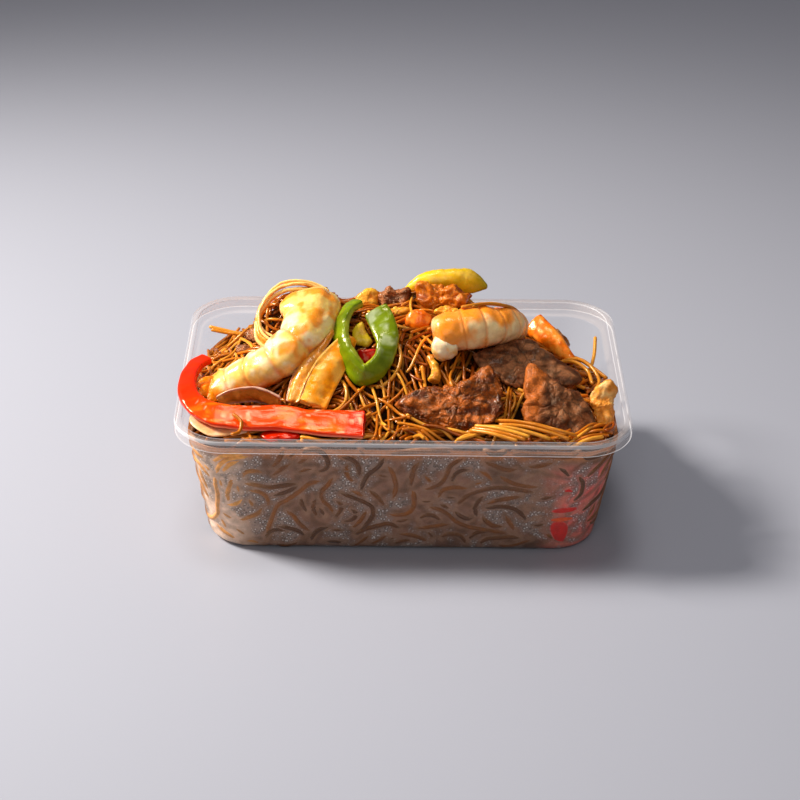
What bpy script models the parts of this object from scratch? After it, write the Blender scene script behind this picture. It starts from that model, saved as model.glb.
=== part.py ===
"""A takeaway box of stir-fried rice noodles with prawns, meat and vegetables.

Lengths are in millimetres and become metres when a mesh is made.
X runs along the long side, Y towards the back, Z up from the table.
"""

import math
import random

import bmesh
import bpy
from mathutils import Matrix, Vector, noise
from mathutils.bvhtree import BVHTree

MM = 0.001

WALL = 0.7
GAP = 0.3
FLOOR_LENGTH = 150.0
FLOOR_WIDTH = 98.0
FLOOR_RADIUS = 17.6
SHOULDER_LENGTH = 162.8
SHOULDER_WIDTH = 110.8
SHOULDER_RADIUS = 15.4
SHOULDER_Z = 48.0
CORNER_STEPS = 8

# Outside of the box from the table up, then over the rim and down the inside: length, width, radius, height.
BOX_LOOPS = [
    (144.0, 92.0, 14.6, 0.0),
    (148.4, 96.4, 16.8, 1.0),
    (151.0, 99.0, 17.5, 3.6),
    (162.8, 110.8, 15.4, 48.0),
    (166.4, 114.4, 17.2, 48.2),
    (167.4, 115.4, 17.6, 53.2),
    (170.2, 118.2, 18.9, 53.2),
    (170.6, 118.6, 19.1, 49.0),
    (172.0, 120.0, 19.8, 49.0),
    (172.0, 120.0, 19.8, 52.8),
    (171.3, 119.3, 19.5, 53.7),
    (170.0, 118.0, 18.9, 54.0),
    (166.6, 114.6, 17.2, 54.0),
    (166.0, 114.0, 16.9, 53.6),
    (165.0, 113.0, 16.4, 49.1),
    (161.8, 109.8, 14.9, 48.7),
    (161.3, 109.3, 14.7, 48.0),
    (149.7, 97.7, 16.9, 4.0),
    (147.2, 95.2, 16.0, 1.5),
    (143.0, 91.0, 14.0, 0.7),
]

TOWARDS_CAMERA = (0.0, -0.87, 0.49)
UP = (0.0, 0.0, 1.0)


def smooth(value):
    """Eases from 0 to 1."""
    value = min(1.0, max(0.0, value))
    return value * value * (3.0 - 2.0 * value)


def clear_scene():
    for obj in list(bpy.data.objects):
        bpy.data.objects.remove(obj)


def corner_loop(length, width, radius, height, steps):
    """One level rounded rectangle, anticlockwise from the right-hand side."""
    centres = (
        (length / 2 - radius, width / 2 - radius, 0),
        (radius - length / 2, width / 2 - radius, 90),
        (radius - length / 2, radius - width / 2, 180),
        (length / 2 - radius, radius - width / 2, 270),
    )
    loop = []
    for centre_x, centre_y, start in centres:
        for step in range(steps + 1):
            angle = math.radians(start + 90 * step / steps)
            x = centre_x + radius * math.cos(angle)
            y = centre_y + radius * math.sin(angle)
            loop.append(Vector((x, y, height)))
    return loop


def even_loop(loop, long_steps, short_steps):
    """The same outline with points added along its straight sides."""
    per_corner = len(loop) // 4
    out = []
    for side in range(4):
        corner = loop[side * per_corner : (side + 1) * per_corner]
        out += corner
        following = loop[(side + 1) * per_corner % len(loop)]
        steps = long_steps if side % 2 == 0 else short_steps
        out += [corner[-1].lerp(following, step / steps) for step in range(1, steps)]
    return out


def paint(obj, colour, roughness):
    material = bpy.data.materials.new(obj.name)
    material.use_nodes = True
    shader = material.node_tree.nodes["Principled BSDF"]
    shader.inputs["Base Color"].default_value = (*colour, 1.0)
    shader.inputs["Roughness"].default_value = roughness
    obj.data.materials.append(material)


def solid(name, rings, start, end, colour, roughness=0.4):
    """A closed body through rings of points, closed by a point or, where that is None, by a flat face."""
    shape = bmesh.new()
    rows = [[shape.verts.new(point * MM) for point in ring] for ring in rings]
    count = len(rings[0])
    for lower, upper in zip(rows, rows[1:]):
        for i in range(count):
            j = (i + 1) % count
            shape.faces.new((lower[i], lower[j], upper[j], upper[i]))
    for tip, row in ((start, rows[0][::-1]), (end, rows[-1])):
        if tip is None:
            shape.faces.new(row)
            continue
        point = shape.verts.new(tip * MM)
        for i in range(count):
            shape.faces.new((row[i], row[(i + 1) % count], point))
    if shape.calc_volume(signed=True) < 0:
        bmesh.ops.reverse_faces(shape, faces=shape.faces[:])
    for face in shape.faces:
        face.smooth = True
    mesh = bpy.data.meshes.new(name)
    shape.to_mesh(mesh)
    shape.free()
    obj = bpy.data.objects.new(name, mesh)
    bpy.context.scene.collection.objects.link(obj)
    paint(obj, colour, roughness)
    return obj


def make_box():
    rings = [corner_loop(*row, CORNER_STEPS) for row in BOX_LOOPS]
    obj = solid("box", rings, None, None, (0.82, 0.82, 0.84), 0.25)
    for face in obj.data.polygons:
        face.use_smooth = abs(face.normal.z) < 0.99
    return obj


def unevenness(point):
    """A smooth random offset for a place."""
    return Vector([noise.noise(point + Vector((shift, 0.0, 0.0))) for shift in (0.0, 31.7, 67.3)])


def curve_rows(rows, fine=16):
    """Rows of numbers along a smooth curve through the given rows, with the length so far."""
    ends = [rows[0], *rows, rows[-1]]
    out = []
    for i in range(len(rows) - 1):
        before, first, last, after = ends[i : i + 4]
        for step in range(fine):
            t = step / fine
            row = []
            for a, b, c, d in zip(before, first, last, after):
                bend = 2 * a - 5 * b + 4 * c - d
                tail = 3 * (b - c) + d - a
                row.append(b + 0.5 * t * (c - a + t * (bend + t * tail)))
            out.append(row)
    out.append(list(rows[-1]))
    lengths = [0.0]
    for a, b in zip(out, out[1:]):
        lengths.append(lengths[-1] + math.dist(a[:3], b[:3]))
    return out, lengths


def at_length(rows, lengths, distance):
    """The row found at a distance along the curve."""
    for i in range(len(rows) - 1):
        if distance <= lengths[i + 1] or i == len(rows) - 2:
            span = max(1e-6, lengths[i + 1] - lengths[i])
            part = min(1.0, max(0.0, (distance - lengths[i]) / span))
            return [a + part * (b - a) for a, b in zip(rows[i], rows[i + 1])]
    return rows[-1]


def sweep(name, rows, colour, facing=UP, rings=10, sides=8, square=2.0, cap=2.0, folds=(0, 0.0), roughness=0.35):
    """A strip or roll along a curve. Each row holds x, y, z, half width, half thickness and roll in degrees."""
    fine, lengths = curve_rows(rows)
    total = lengths[-1]
    stations = [(0.3 * cap, 0.71), (cap, 1.0)]
    for step in range(1, rings):
        stations.append((cap + (total - 2 * cap) * step / rings, 1.0))
    stations += [(total - cap, 1.0), (total - 0.3 * cap, 0.71)]
    loops = []
    for distance, scale in stations:
        row = at_length(fine, lengths, distance)
        ahead = at_length(fine, lengths, min(total, distance + 0.5))
        behind = at_length(fine, lengths, max(0.0, distance - 0.5))
        along = (Vector(ahead[:3]) - Vector(behind[:3])).normalized()
        out = Vector(facing)
        out = (out - along * out.dot(along)).normalized()
        turn = Matrix.Rotation(math.radians(row[5]), 3, along)
        out = turn @ out
        across = along.cross(out)
        count, depth = folds
        swell = 1.0 + depth * (abs(math.sin(math.pi * count * distance / total)) - 0.5) if count else 1.0
        loop = []
        for side in range(sides):
            angle = 2 * math.pi * (side + 0.5) / sides
            c, s = math.cos(angle), math.sin(angle)
            x = math.copysign(abs(c) ** (2 / square), c) * row[3] * scale * swell
            y = math.copysign(abs(s) ** (2 / square), s) * row[4] * scale * swell
            loop.append(Vector(row[:3]) + across * x + out * y)
        loops.append(loop)
    return solid(name, loops, Vector(fine[0][:3]), Vector(fine[-1][:3]), colour, roughness)


def chunk(name, centre, outline, depth, turn, colour, seed, rough=0.8, bend=0.0, square=3.0, tiers=6, roughness=0.45):
    """An uneven piece. Outline holds the plan radius at even steps round it, and depth is half its thickness."""
    count = len(outline)
    turning = Matrix.Rotation(math.radians(turn[2]), 3, "Z")
    turning = turning @ Matrix.Rotation(math.radians(turn[1]), 3, "Y")
    turning = turning @ Matrix.Rotation(math.radians(turn[0]), 3, "X")
    middle = Vector(centre)
    offset = Vector((seed * 7.3, seed * 3.1, seed * 5.7))

    def place(x, y, z):
        z -= bend * x * x
        point = Vector((x, y, z))
        point += unevenness(point * 0.22 + offset) * rough
        return middle + turning @ point

    rings = []
    for tier in range(1, tiers):
        angle = math.pi * (tier / tiers - 0.5)
        wide = math.cos(angle) ** (2 / square)
        high = math.copysign(abs(math.sin(angle)) ** (2 / square), angle) * depth
        ring = []
        for i in range(count):
            around = 2 * math.pi * i / count
            radius = outline[i] * wide
            ring.append(place(radius * math.cos(around), radius * math.sin(around), high))
        rings.append(ring)
    return solid(name, rings, place(0, 0, -depth), place(0, 0, depth), colour, roughness)


PRAWN = (0.86, 0.62, 0.36)
SHELL = (0.82, 0.27, 0.05)
RED_PEPPER = (0.75, 0.06, 0.01)
GREEN_PEPPER = (0.13, 0.32, 0.02)
ONION = (0.78, 0.50, 0.18)
SPRING_ONION = (0.78, 0.56, 0.04)
CHICKEN = (0.60, 0.24, 0.05)
BEEF = (0.18, 0.085, 0.05)
PORK = (0.24, 0.08, 0.035)


def make_prawns():
    return [
        sweep(
            "prawn_left",
            [
                (-76.0, -24.0, 54.8, 4.6, 1.6, 10),
                (-71.0, -22.6, 56.4, 5.6, 3.4, 10),
                (-62.5, -21.2, 60.0, 6.8, 6.0, 10),
                (-51.0, -20.2, 65.0, 8.0, 7.2, 5),
                (-42.0, -14.2, 70.6, 8.6, 7.4, 0),
                (-36.4, -4.5, 75.0, 10.4, 7.2, 0),
                (-36.0, 4.5, 77.0, 11.8, 6.8, 0),
                (-37.0, 11.4, 76.0, 10.4, 5.8, 0),
            ],
            PRAWN,
            rings=14,
            sides=10,
            cap=3.0,
            folds=(5, 0.08),
        ),
        sweep(
            "prawn_right",
            [
                (11.6, -14.5, 74.2, 7.0, 6.6, 0),
                (18.0, -12.8, 76.0, 8.0, 7.6, 0),
                (28.0, -10.0, 76.4, 8.2, 7.8, 0),
                (36.5, -5.5, 75.0, 7.8, 7.0, 0),
                (42.0, 1.5, 71.6, 6.6, 6.0, 0),
                (44.0, 8.0, 67.6, 4.6, 4.2, 0),
            ],
            PRAWN,
            rings=10,
            sides=10,
            cap=3.0,
            folds=(5, 0.06),
        ),
        sweep(
            "prawn_tail_left",
            [
                (0.5, -0.5, 73.6, 2.0, 1.2, 0),
                (5.0, -0.6, 74.6, 4.2, 2.2, 0),
                (10.2, -1.0, 73.2, 2.6, 1.8, 0),
            ],
            SHELL,
            facing=TOWARDS_CAMERA,
            rings=3,
            cap=1.0,
        ),
        sweep(
            "prawn_tail_right",
            [
                (50.6, 16.0, 65.4, 5.2, 1.8, 0),
                (55.2, 10.8, 63.8, 4.4, 2.4, 0),
                (61.0, 4.0, 60.8, 3.4, 2.2, 0),
                (66.6, -2.6, 57.4, 1.6, 1.4, 0),
            ],
            SHELL,
            facing=TOWARDS_CAMERA,
            rings=4,
            cap=1.2,
        ),
    ]


def make_peppers():
    return [
        sweep(
            "green_pepper",
            [
                (-17.6, 4.0, 79.6, 3.4, 2.2, 60),
                (-21.6, -1.0, 78.6, 4.2, 2.3, 66),
                (-24.2, -9.5, 75.2, 4.6, 2.4, 68),
                (-22.4, -19.0, 69.8, 4.8, 2.4, 60),
                (-15.4, -26.8, 64.4, 4.8, 2.2, 40),
                (-8.2, -22.4, 67.6, 4.6, 2.0, 25),
                (-6.2, -15.0, 73.0, 4.9, 1.9, 10),
                (-8.6, -8.6, 77.4, 5.0, 1.9, 0),
                (-11.0, -4.0, 80.6, 4.6, 1.8, 0),
            ],
            GREEN_PEPPER,
            facing=TOWARDS_CAMERA,
            rings=16,
            square=3.0,
            cap=0.8,
            roughness=0.2,
        ),
        sweep(
            "red_pepper_long",
            [
                (-75.6, -4.0, 58.6, 3.6, 1.6, 25),
                (-79.6, -10.0, 58.6, 4.2, 1.7, 20),
                (-81.2, -22.0, 58.6, 4.4, 1.8, 10),
                (-79.0, -35.0, 57.8, 4.8, 1.8, 0),
                (-72.0, -43.0, 56.6, 5.2, 1.8, -5),
                (-60.0, -45.6, 56.2, 5.2, 1.8, -8),
                (-46.0, -45.4, 56.0, 5.2, 1.8, -8),
                (-30.0, -47.6, 55.4, 5.4, 1.8, -10),
                (-14.0, -48.0, 55.0, 6.2, 1.8, -10),
            ],
            RED_PEPPER,
            facing=(0.0, -0.55, 0.83),
            rings=18,
            square=3.4,
            cap=0.8,
            roughness=0.2,
        ),
        chunk(
            "red_pepper_under",
            (-46.0, -50.6, 51.6),
            (8, 5, 3, 2.4, 2.6, 5, 7, 5, 3, 2.2, 2.6, 5),
            1.2,
            (12, 0, 0),
            RED_PEPPER,
            2,
            rough=0.4,
            tiers=5,
        ),
        chunk(
            "red_pepper_mid_left",
            (-26.4, -24.0, 62.2),
            (3.5, 4, 4, 2.5, 2.5, 3, 4, 4.5, 3, 2.5, 2.5, 2.5),
            1.4,
            (50, 0, 0),
            RED_PEPPER,
            3,
            rough=0.4,
            tiers=5,
        ),
        chunk(
            "red_pepper_mid_right",
            (-13.6, -17.0, 67.6),
            (4, 4.5, 3, 2.5, 2.5, 4, 3.5, 3.5, 3.5, 3.5, 2.5, 3),
            1.4,
            (50, 0, 0),
            RED_PEPPER,
            4,
            rough=0.4,
            tiers=5,
        ),
    ]


def make_corner_pepper():
    return chunk(
        "red_pepper_corner",
        (62.0, -49.0, 17.4),
        (5.8, 6.8, 9.8, 13.0, 9.2, 6.2, 5.2, 6.4, 10.2, 13.4, 10.6, 6.8),
        1.1,
        (98, 0, 9),
        RED_PEPPER,
        5,
        rough=0.1,
        bend=0.02,
        tiers=5,
    )


def make_onions():
    return [
        sweep(
            "onion_left_a",
            [
                (-27.6, -9.0, 74.0, 2.2, 0.8, 40),
                (-33.4, -20.0, 68.6, 3.2, 0.9, 45),
                (-38.2, -27.6, 62.4, 3.6, 0.9, 45),
                (-40.6, -36.5, 57.6, 3.0, 0.9, 40),
            ],
            ONION,
            facing=TOWARDS_CAMERA,
            rings=6,
            square=2.6,
            cap=0.8,
        ),
        sweep(
            "onion_left_b",
            [
                (-20.2, -12.0, 73.2, 3.0, 1.3, 0),
                (-27.0, -22.0, 66.8, 5.6, 1.6, 0),
                (-31.4, -29.4, 61.8, 6.0, 1.7, 0),
                (-34.4, -38.0, 57.2, 5.6, 1.5, 0),
            ],
            ONION,
            facing=TOWARDS_CAMERA,
            rings=6,
            square=2.6,
            cap=0.8,
        ),
        sweep(
            "onion_ring",
            [
                (-33.0, 17.0, 76.0, 1.8, 0.9, 0),
                (-41.5, 16.0, 80.6, 2.0, 0.9, 0),
                (-50.0, 14.0, 78.8, 2.0, 0.9, 30),
                (-56.2, 8.0, 72.6, 2.0, 0.9, 60),
                (-55.6, 0.0, 67.2, 2.0, 0.9, 60),
                (-50.6, -4.6, 65.0, 1.8, 0.9, 40),
            ],
            ONION,
            facing=TOWARDS_CAMERA,
            rings=9,
            sides=6,
            cap=0.8,
        ),
        sweep(
            "onion_arc",
            [
                (-70.0, -32.4, 55.4, 2.8, 0.8, 50),
                (-64.0, -32.0, 57.6, 4.0, 0.9, 50),
                (-55.0, -32.4, 58.6, 4.4, 0.9, 50),
                (-46.0, -35.6, 57.0, 3.4, 0.9, 50),
            ],
            ONION,
            facing=TOWARDS_CAMERA,
            rings=5,
            sides=6,
            square=2.6,
            cap=0.8,
        ),
        chunk(
            "onion_corner",
            (-68.4, -42.6, 51.9),
            (15, 6.5, 4.5, 5.5, 8, 12.5, 11.4, 9.5, 8.5, 7.5, 8, 12),
            0.8,
            (8, 0, 0),
            ONION,
            6,
            rough=0.3,
            bend=-0.006,
            tiers=5,
        ),
        sweep(
            "spring_onion_top",
            [
                (0.4, 25.4, 73.8, 1.4, 1.4, 0),
                (8.4, 26.0, 78.0, 3.4, 2.8, 0),
                (18.0, 27.0, 78.8, 4.2, 3.2, 0),
                (26.6, 28.0, 77.0, 4.8, 3.2, 0),
                (33.2, 28.6, 74.8, 1.8, 1.8, 0),
            ],
            SPRING_ONION,
            facing=TOWARDS_CAMERA,
            rings=7,
            cap=1.0,
        ),
        chunk(
            "spring_onion_mid",
            (-16.2, -9.8, 72.2),
            (3, 2.5, 3, 5.5, 4.5, 4, 3.5, 3.5, 4, 4, 5, 5),
            1.5,
            (50, 0, 0),
            SPRING_ONION,
            7,
            rough=0.3,
            tiers=5,
        ),
    ]


def make_meats():
    return [
        chunk(
            "beef_front",
            (20.4, -37.4, 58.4),
            (17.5, 18, 19.5, 10.5, 7, 7.5, 9, 15.5, 23, 17, 13, 11, 11, 11.5, 13.5, 17),
            3.2,
            (48, -4, -3),
            (0.22, 0.085, 0.035),
            11,
            rough=1.4,
            tiers=7,
        ),
        chunk(
            "beef_right",
            (57.9, -34.7, 55.6),
            (15, 12, 10.5, 9.5, 9.5, 12, 20, 16, 11.5, 14, 12.5, 9, 10.5, 13, 14.5, 18),
            2.8,
            (40, 14, -6),
            BEEF,
            12,
            rough=1.0,
            tiers=7,
        ),
        chunk(
            "fried_piece",
            (76.2, -29.3, 54.2),
            (3, 3.5, 4.5, 7.5, 10, 7.5, 6.5, 6.5, 5.5, 4.5, 4.5, 5.5, 9, 12, 6, 3.5),
            2.4,
            (60, 10, -10),
            (0.80, 0.42, 0.15),
            19,
            rough=0.8,
            square=2.4,
        ),
        chunk(
            "chicken_top",
            (14.8, 14.6, 76.4),
            (12, 9.5, 7.5, 4.5, 4.5, 4.5, 7, 10, 11, 9.5, 7.5, 5.5, 4.5, 4.5, 5, 7.5),
            4.0,
            (50, 0, 0),
            CHICKEN,
            14,
            rough=1.6,
            square=2.4,
        ),
        chunk(
            "chicken_top_low",
            (15.5, 4.4, 75.6),
            (4.5, 4, 2.5, 2, 2.5, 3, 4, 3.5, 2.5, 2, 2.5, 3),
            2.2,
            (40, 0, 0),
            (0.75, 0.36, 0.08),
            20,
            rough=0.6,
            square=2.4,
            tiers=5,
        ),
        chunk(
            "chicken_back",
            (62.6, 22.0, 54.6),
            (5.5, 3.5, 3, 3, 4, 4.5, 6, 3.5, 3, 2.5, 3.5, 5),
            2.6,
            (50, 30, 0),
            (0.55, 0.28, 0.12),
            15,
            rough=0.8,
            square=2.4,
            tiers=5,
        ),
        sweep(
            "chicken_mid",
            [
                (9.8, -18.0, 68.4, 1.5, 1.2, 0),
                (12.0, -24.0, 65.4, 1.6, 1.4, 0),
                (11.2, -28.6, 62.6, 2.8, 1.9, 0),
            ],
            (0.75, 0.36, 0.08),
            facing=TOWARDS_CAMERA,
            rings=3,
            sides=6,
            cap=1.0,
        ),
        chunk(
            "egg_top",
            (-14.2, 19.0, 73.6),
            (4, 5, 4, 4, 3.5, 4, 5, 4.5, 4, 3.5, 4, 4.5),
            2.6,
            (50, 0, 0),
            (0.80, 0.42, 0.06),
            16,
            rough=0.6,
            square=2.4,
            tiers=5,
        ),
        chunk(
            "egg_low",
            (-2.2, 9.2, 72.8),
            (5, 4, 2.5, 2, 2.5, 3, 4.5, 4, 2.5, 2, 2, 2.5),
            2.0,
            (40, 0, 0),
            (0.80, 0.42, 0.06),
            21,
            rough=0.5,
            square=2.4,
            tiers=5,
        ),
        chunk(
            "pork_top",
            (-3.2, 18.0, 74.6),
            (7, 6.5, 5, 4, 4.5, 6, 6.5, 6.5, 5, 4, 4.5, 5.5),
            3.2,
            (50, 0, 0),
            PORK,
            17,
            rough=1.0,
            square=2.4,
            tiers=5,
        ),
        chunk(
            "pork_left",
            (-57.4, 13.4, 59.2),
            (5.5, 4, 3.5, 3, 4, 5, 4.5, 4.5, 3.5, 3, 3.5, 4.5),
            2.6,
            (45, -10, 0),
            PORK,
            18,
            rough=0.8,
            square=2.4,
            tiers=5,
        ),
        chunk(
            "pork_left_small",
            (-62.6, 6.6, 57.0),
            (3.5, 2, 2, 2, 2.5, 3.5, 3, 2.5, 2, 2, 2.5, 3.5),
            1.6,
            (45, -10, 0),
            PORK,
            22,
            rough=0.4,
            square=2.4,
            tiers=5,
        ),
        chunk(
            "beef_back",
            (45.5, -16.6, 63.8),
            (23.5, 14, 11.5, 11.5, 11.5, 11, 11, 13, 20, 17, 12, 10.5, 10, 9.5, 10.5, 14),
            2.2,
            (30, 12, -6),
            BEEF,
            13,
            rough=1.0,
            tiers=7,
        ),
    ]


def heap_height(x, y):
    """Top of the noodles before the toppings press into them."""
    across = math.exp(-(abs(x / 60) ** 3.4))
    along = math.exp(-(abs((y - 8) / 38) ** 2.6))
    back = smooth((y + 15) / 60)
    corner = min(1.0, abs(x) / 78) ** 2.6
    low = 9 if x < 0 else 19
    return 49.5 - 4 * back - low * corner * back + 24 * across * along


def tree_of(obj):
    return BVHTree.FromPolygons(
        [vertex.co / MM for vertex in obj.data.vertices],
        [tuple(face.vertices) for face in obj.data.polygons],
    )


def underside(trees, x, y):
    """The lowest point of any topping over a place."""
    lowest = 200.0
    for tree in trees:
        found = tree.ray_cast(Vector((x, y, 30.0)), Vector(UP))
        if found[0]:
            lowest = min(lowest, found[0].z)
    return lowest


def core_height(trees, x, y, reach=3.4, clearance=0.8):
    """Height of the bare core, held under each topping and the ground round it."""
    height = heap_height(x, y)
    for i in range(9):
        angle = math.tau * i / 8
        span = reach if i else 0.0
        low = underside(trees, x + span * math.cos(angle), y + span * math.sin(angle))
        height = min(height, low - clearance)
    return max(12.0, height)


def core_loop(length, width, radius, height):
    return even_loop(corner_loop(length, width, radius, height, 4), 13, 8)


def inner_loop(inset, height):
    """The box's inside at a height, drawn in by an inset."""
    part = height / SHOULDER_Z
    shrink = 2 * (WALL + inset)
    length = FLOOR_LENGTH + (SHOULDER_LENGTH - FLOOR_LENGTH) * part - shrink
    width = FLOOR_WIDTH + (SHOULDER_WIDTH - FLOOR_WIDTH) * part - shrink
    radius = FLOOR_RADIUS + (SHOULDER_RADIUS - FLOOR_RADIUS) * part - WALL - inset
    return core_loop(length, width, radius, height)


def make_core(trees):
    """The noodles' mass: it fills the box inside and rises to the heap."""
    loops = [
        core_loop(141.0, 89.0, 13.4, WALL + GAP),
        core_loop(146.0, 94.0, 15.2, 2.6),
        inner_loop(GAP + 0.2, 5.0),
    ]
    wall = inner_loop(GAP + 0.2, SHOULDER_Z)
    lower = inner_loop(GAP + 0.2, 5.0)
    edge = []
    for i, point in enumerate(wall):
        height = min(52.5, core_height(trees, point.x, point.y))
        part = min(1.0, (height - 5.0) / (SHOULDER_Z - 5.0))
        place = lower[i].lerp(wall[i], part)
        edge.append(Vector((place.x, place.y, height)))
    loops.append(edge)
    rounds = 13
    for step in range(1, rounds):
        part = 1 - step / rounds
        loop = []
        for point in edge:
            x = point.x * part
            y = point.y * part
            loop.append(Vector((x, y, core_height(trees, x, y))))
        loops.append(loop)
    top = Vector((0.0, 0.0, core_height(trees, 0.0, 0.0)))
    return solid("noodles", loops, None, top, (0.50, 0.25, 0.05), 0.35)


def strand(path, radius=0.95, sides=5):
    """One noodle through the given points."""
    loops = []
    for i, point in enumerate(path):
        middle = Vector(point)
        along = (Vector(path[min(i + 1, len(path) - 1)]) - Vector(path[max(i - 1, 0)])).normalized()
        across = along.cross(Vector(UP)).normalized()
        out = across.cross(along)
        loop = []
        for side in range(sides):
            angle = math.tau * side / sides
            loop.append(middle + (across * math.cos(angle) + out * math.sin(angle)) * radius)
        loops.append(loop)
    return solid("strand", loops, None, None, (0.62, 0.34, 0.08))


def near(trees, point, room):
    for tree in trees:
        found = tree.find_nearest(Vector(point), room)
        if found[0]:
            return True
    return False


def random_path(rng, ground, trees):
    """A wandering path over the heap, or None where something is in its way."""
    x = rng.uniform(-76, 76)
    y = rng.uniform(-50, 50)
    angle = rng.uniform(0, math.tau)
    curl = rng.uniform(-0.3, 0.3)
    rise = rng.uniform(0.2, 0.8)
    path = []
    for _ in range(rng.randint(6, 9)):
        corner = math.hypot(max(0.0, abs(x) - 62), max(0.0, abs(y) - 37))
        found = ground.ray_cast(Vector((x, y, 120.0)), Vector((0.0, 0.0, -1.0)))
        if corner > 14 or abs(x) > 76 or abs(y) > 50 or not found[0]:
            break
        point = found[0] + Vector((0.0, 0.0, rise))
        middle = point.lerp(Vector(path[-1]), 0.5) if path else point
        if near(trees, point, 1.4) or near(trees, middle, 1.4):
            break
        path.append(tuple(point))
        x += 5.5 * math.cos(angle)
        y += 5.5 * math.sin(angle)
        angle += curl
        curl = min(0.5, max(-0.5, curl + rng.uniform(-0.2, 0.2)))
    return path if len(path) > 4 else None


DEEP_TOPPINGS = ("beef_front", "beef_right", "fried_piece", "pork_left_small")
STRAND_COUNT = 38

LOOSE_STRANDS = [
    [(-78.0, 34.0, 52.6), (-72.0, 32.0, 52.2), (-66.0, 30.0, 51.8), (-60.0, 27.0, 52.6), (-54.0, 22.0, 54.6)],
    [(76.6, 20.0, 52.4), (75.2, 14.0, 50.4), (73.6, 7.0, 48.6), (71.0, 0.0, 47.4), (67.0, -6.0, 47.0)],
    [(60.0, 9.0, 54.0), (67.0, 5.6, 54.0), (74.0, 1.0, 52.6), (79.0, -4.0, 51.6)],
    [(30.0, -49.0, 52.2), (35.0, -53.0, 54.4), (40.0, -56.0, 55.4), (44.5, -58.0, 55.2)],
    [(4.0, -50.4, 51.4), (6.0, -54.0, 54.4), (7.4, -57.6, 55.3)],
]


def make_noodles(toppings, buried, box):
    trees = [tree_of(obj) for obj in toppings]
    deep = [obj for obj in toppings if obj.name in DEEP_TOPPINGS]
    core = make_core(trees)
    for obj in [*buried, *deep]:
        carve(core, obj, 0.35)
    keep_largest(core)
    ground = tree_of(core)
    trees += [tree_of(obj) for obj in [box, *buried]]
    strands = bpy.data.collections.new("strands")
    bpy.context.scene.collection.children.link(strands)
    rng = random.Random(14)
    paths = [path for path in LOOSE_STRANDS if not any(near(trees, point, 1.35) for point in path)]
    while len(paths) < STRAND_COUNT:
        path = random_path(rng, ground, trees)
        if path:
            paths.append(path)
    for path in paths:
        obj = strand(path)
        bpy.context.scene.collection.objects.unlink(obj)
        strands.objects.link(obj)
    union = core.modifiers.new("union", "BOOLEAN")
    union.operation = "UNION"
    union.solver = "MANIFOLD"
    union.operand_type = "COLLECTION"
    union.collection = strands
    apply_modifiers(core)
    for obj in list(strands.objects):
        bpy.data.objects.remove(obj)
    bpy.data.collections.remove(strands)
    keep_largest(core)
    return core


def apply_modifiers(obj):
    graph = bpy.context.evaluated_depsgraph_get()
    mesh = bpy.data.meshes.new_from_object(obj.evaluated_get(graph))
    obj.modifiers.clear()
    obj.data = mesh


def carve(obj, other, room):
    """Cuts away what comes within a small distance of another piece."""
    grown = other.copy()
    grown.data = other.data.copy()
    bpy.context.scene.collection.objects.link(grown)
    normals = [vertex.normal.copy() for vertex in grown.data.vertices]
    for vertex, normal in zip(grown.data.vertices, normals):
        vertex.co += normal * room * MM
    cut = obj.modifiers.new("cut", "BOOLEAN")
    cut.operation = "DIFFERENCE"
    cut.solver = "MANIFOLD"
    cut.object = grown
    apply_modifiers(obj)
    bpy.data.objects.remove(grown)


def keep_largest(obj):
    """Drops loose scraps and the skins of sealed hollows."""
    shape = bmesh.new()
    shape.from_mesh(obj.data)
    shape.faces.ensure_lookup_table()
    groups = []
    seen = set()
    for start in shape.faces:
        if start.index in seen:
            continue
        seen.add(start.index)
        group = [start]
        for face in group:
            for edge in face.edges:
                for other in edge.link_faces:
                    if other.index not in seen:
                        seen.add(other.index)
                        group.append(other)
        groups.append(group)
    groups.sort(key=len)
    for group in groups[:-1]:
        bmesh.ops.delete(shape, geom=group, context="FACES")
    shape.to_mesh(obj.data)
    shape.free()


def settle(pieces):
    """Where two pieces would meet, the later one gives way to the earlier one."""
    for i, upper in enumerate(pieces):
        for lower in pieces[i + 1 :]:
            corners = [Vector(corner) for corner in upper.bound_box]
            others = [Vector(corner) for corner in lower.bound_box]
            apart = False
            for axis in range(3):
                gap = 0.5 * MM
                apart |= min(c[axis] for c in corners) - gap > max(c[axis] for c in others)
                apart |= min(c[axis] for c in others) - gap > max(c[axis] for c in corners)
            if not apart:
                carve(lower, upper, 0.35)
                keep_largest(lower)


clear_scene()
box = make_box()
corner_pepper = make_corner_pepper()
toppings = make_prawns() + make_peppers() + make_meats() + make_onions()
settle([box, corner_pepper, *toppings])
make_noodles(toppings, [corner_pepper], box)
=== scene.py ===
"""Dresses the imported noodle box: clear plastic, fogged noodles, loose strands, toppings, light and camera.

Lengths are in millimetres and become metres when a mesh is made.
X runs along the long side, Y towards the back, Z up from the table.
"""

import itertools
import math

import bpy
import numpy as np
from mathutils import Matrix, Vector, noise


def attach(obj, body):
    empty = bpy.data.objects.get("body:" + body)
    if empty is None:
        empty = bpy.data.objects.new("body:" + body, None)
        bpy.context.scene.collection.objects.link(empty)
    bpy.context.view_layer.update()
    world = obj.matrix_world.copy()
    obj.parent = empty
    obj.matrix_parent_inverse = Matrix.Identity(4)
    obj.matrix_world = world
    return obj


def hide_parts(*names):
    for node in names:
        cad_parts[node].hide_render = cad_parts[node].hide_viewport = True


MM = 0.001
UP = (0.0, 0.0, 1.0)
TOWARDS_CAMERA = (0.0, -0.87, 0.49)

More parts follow.
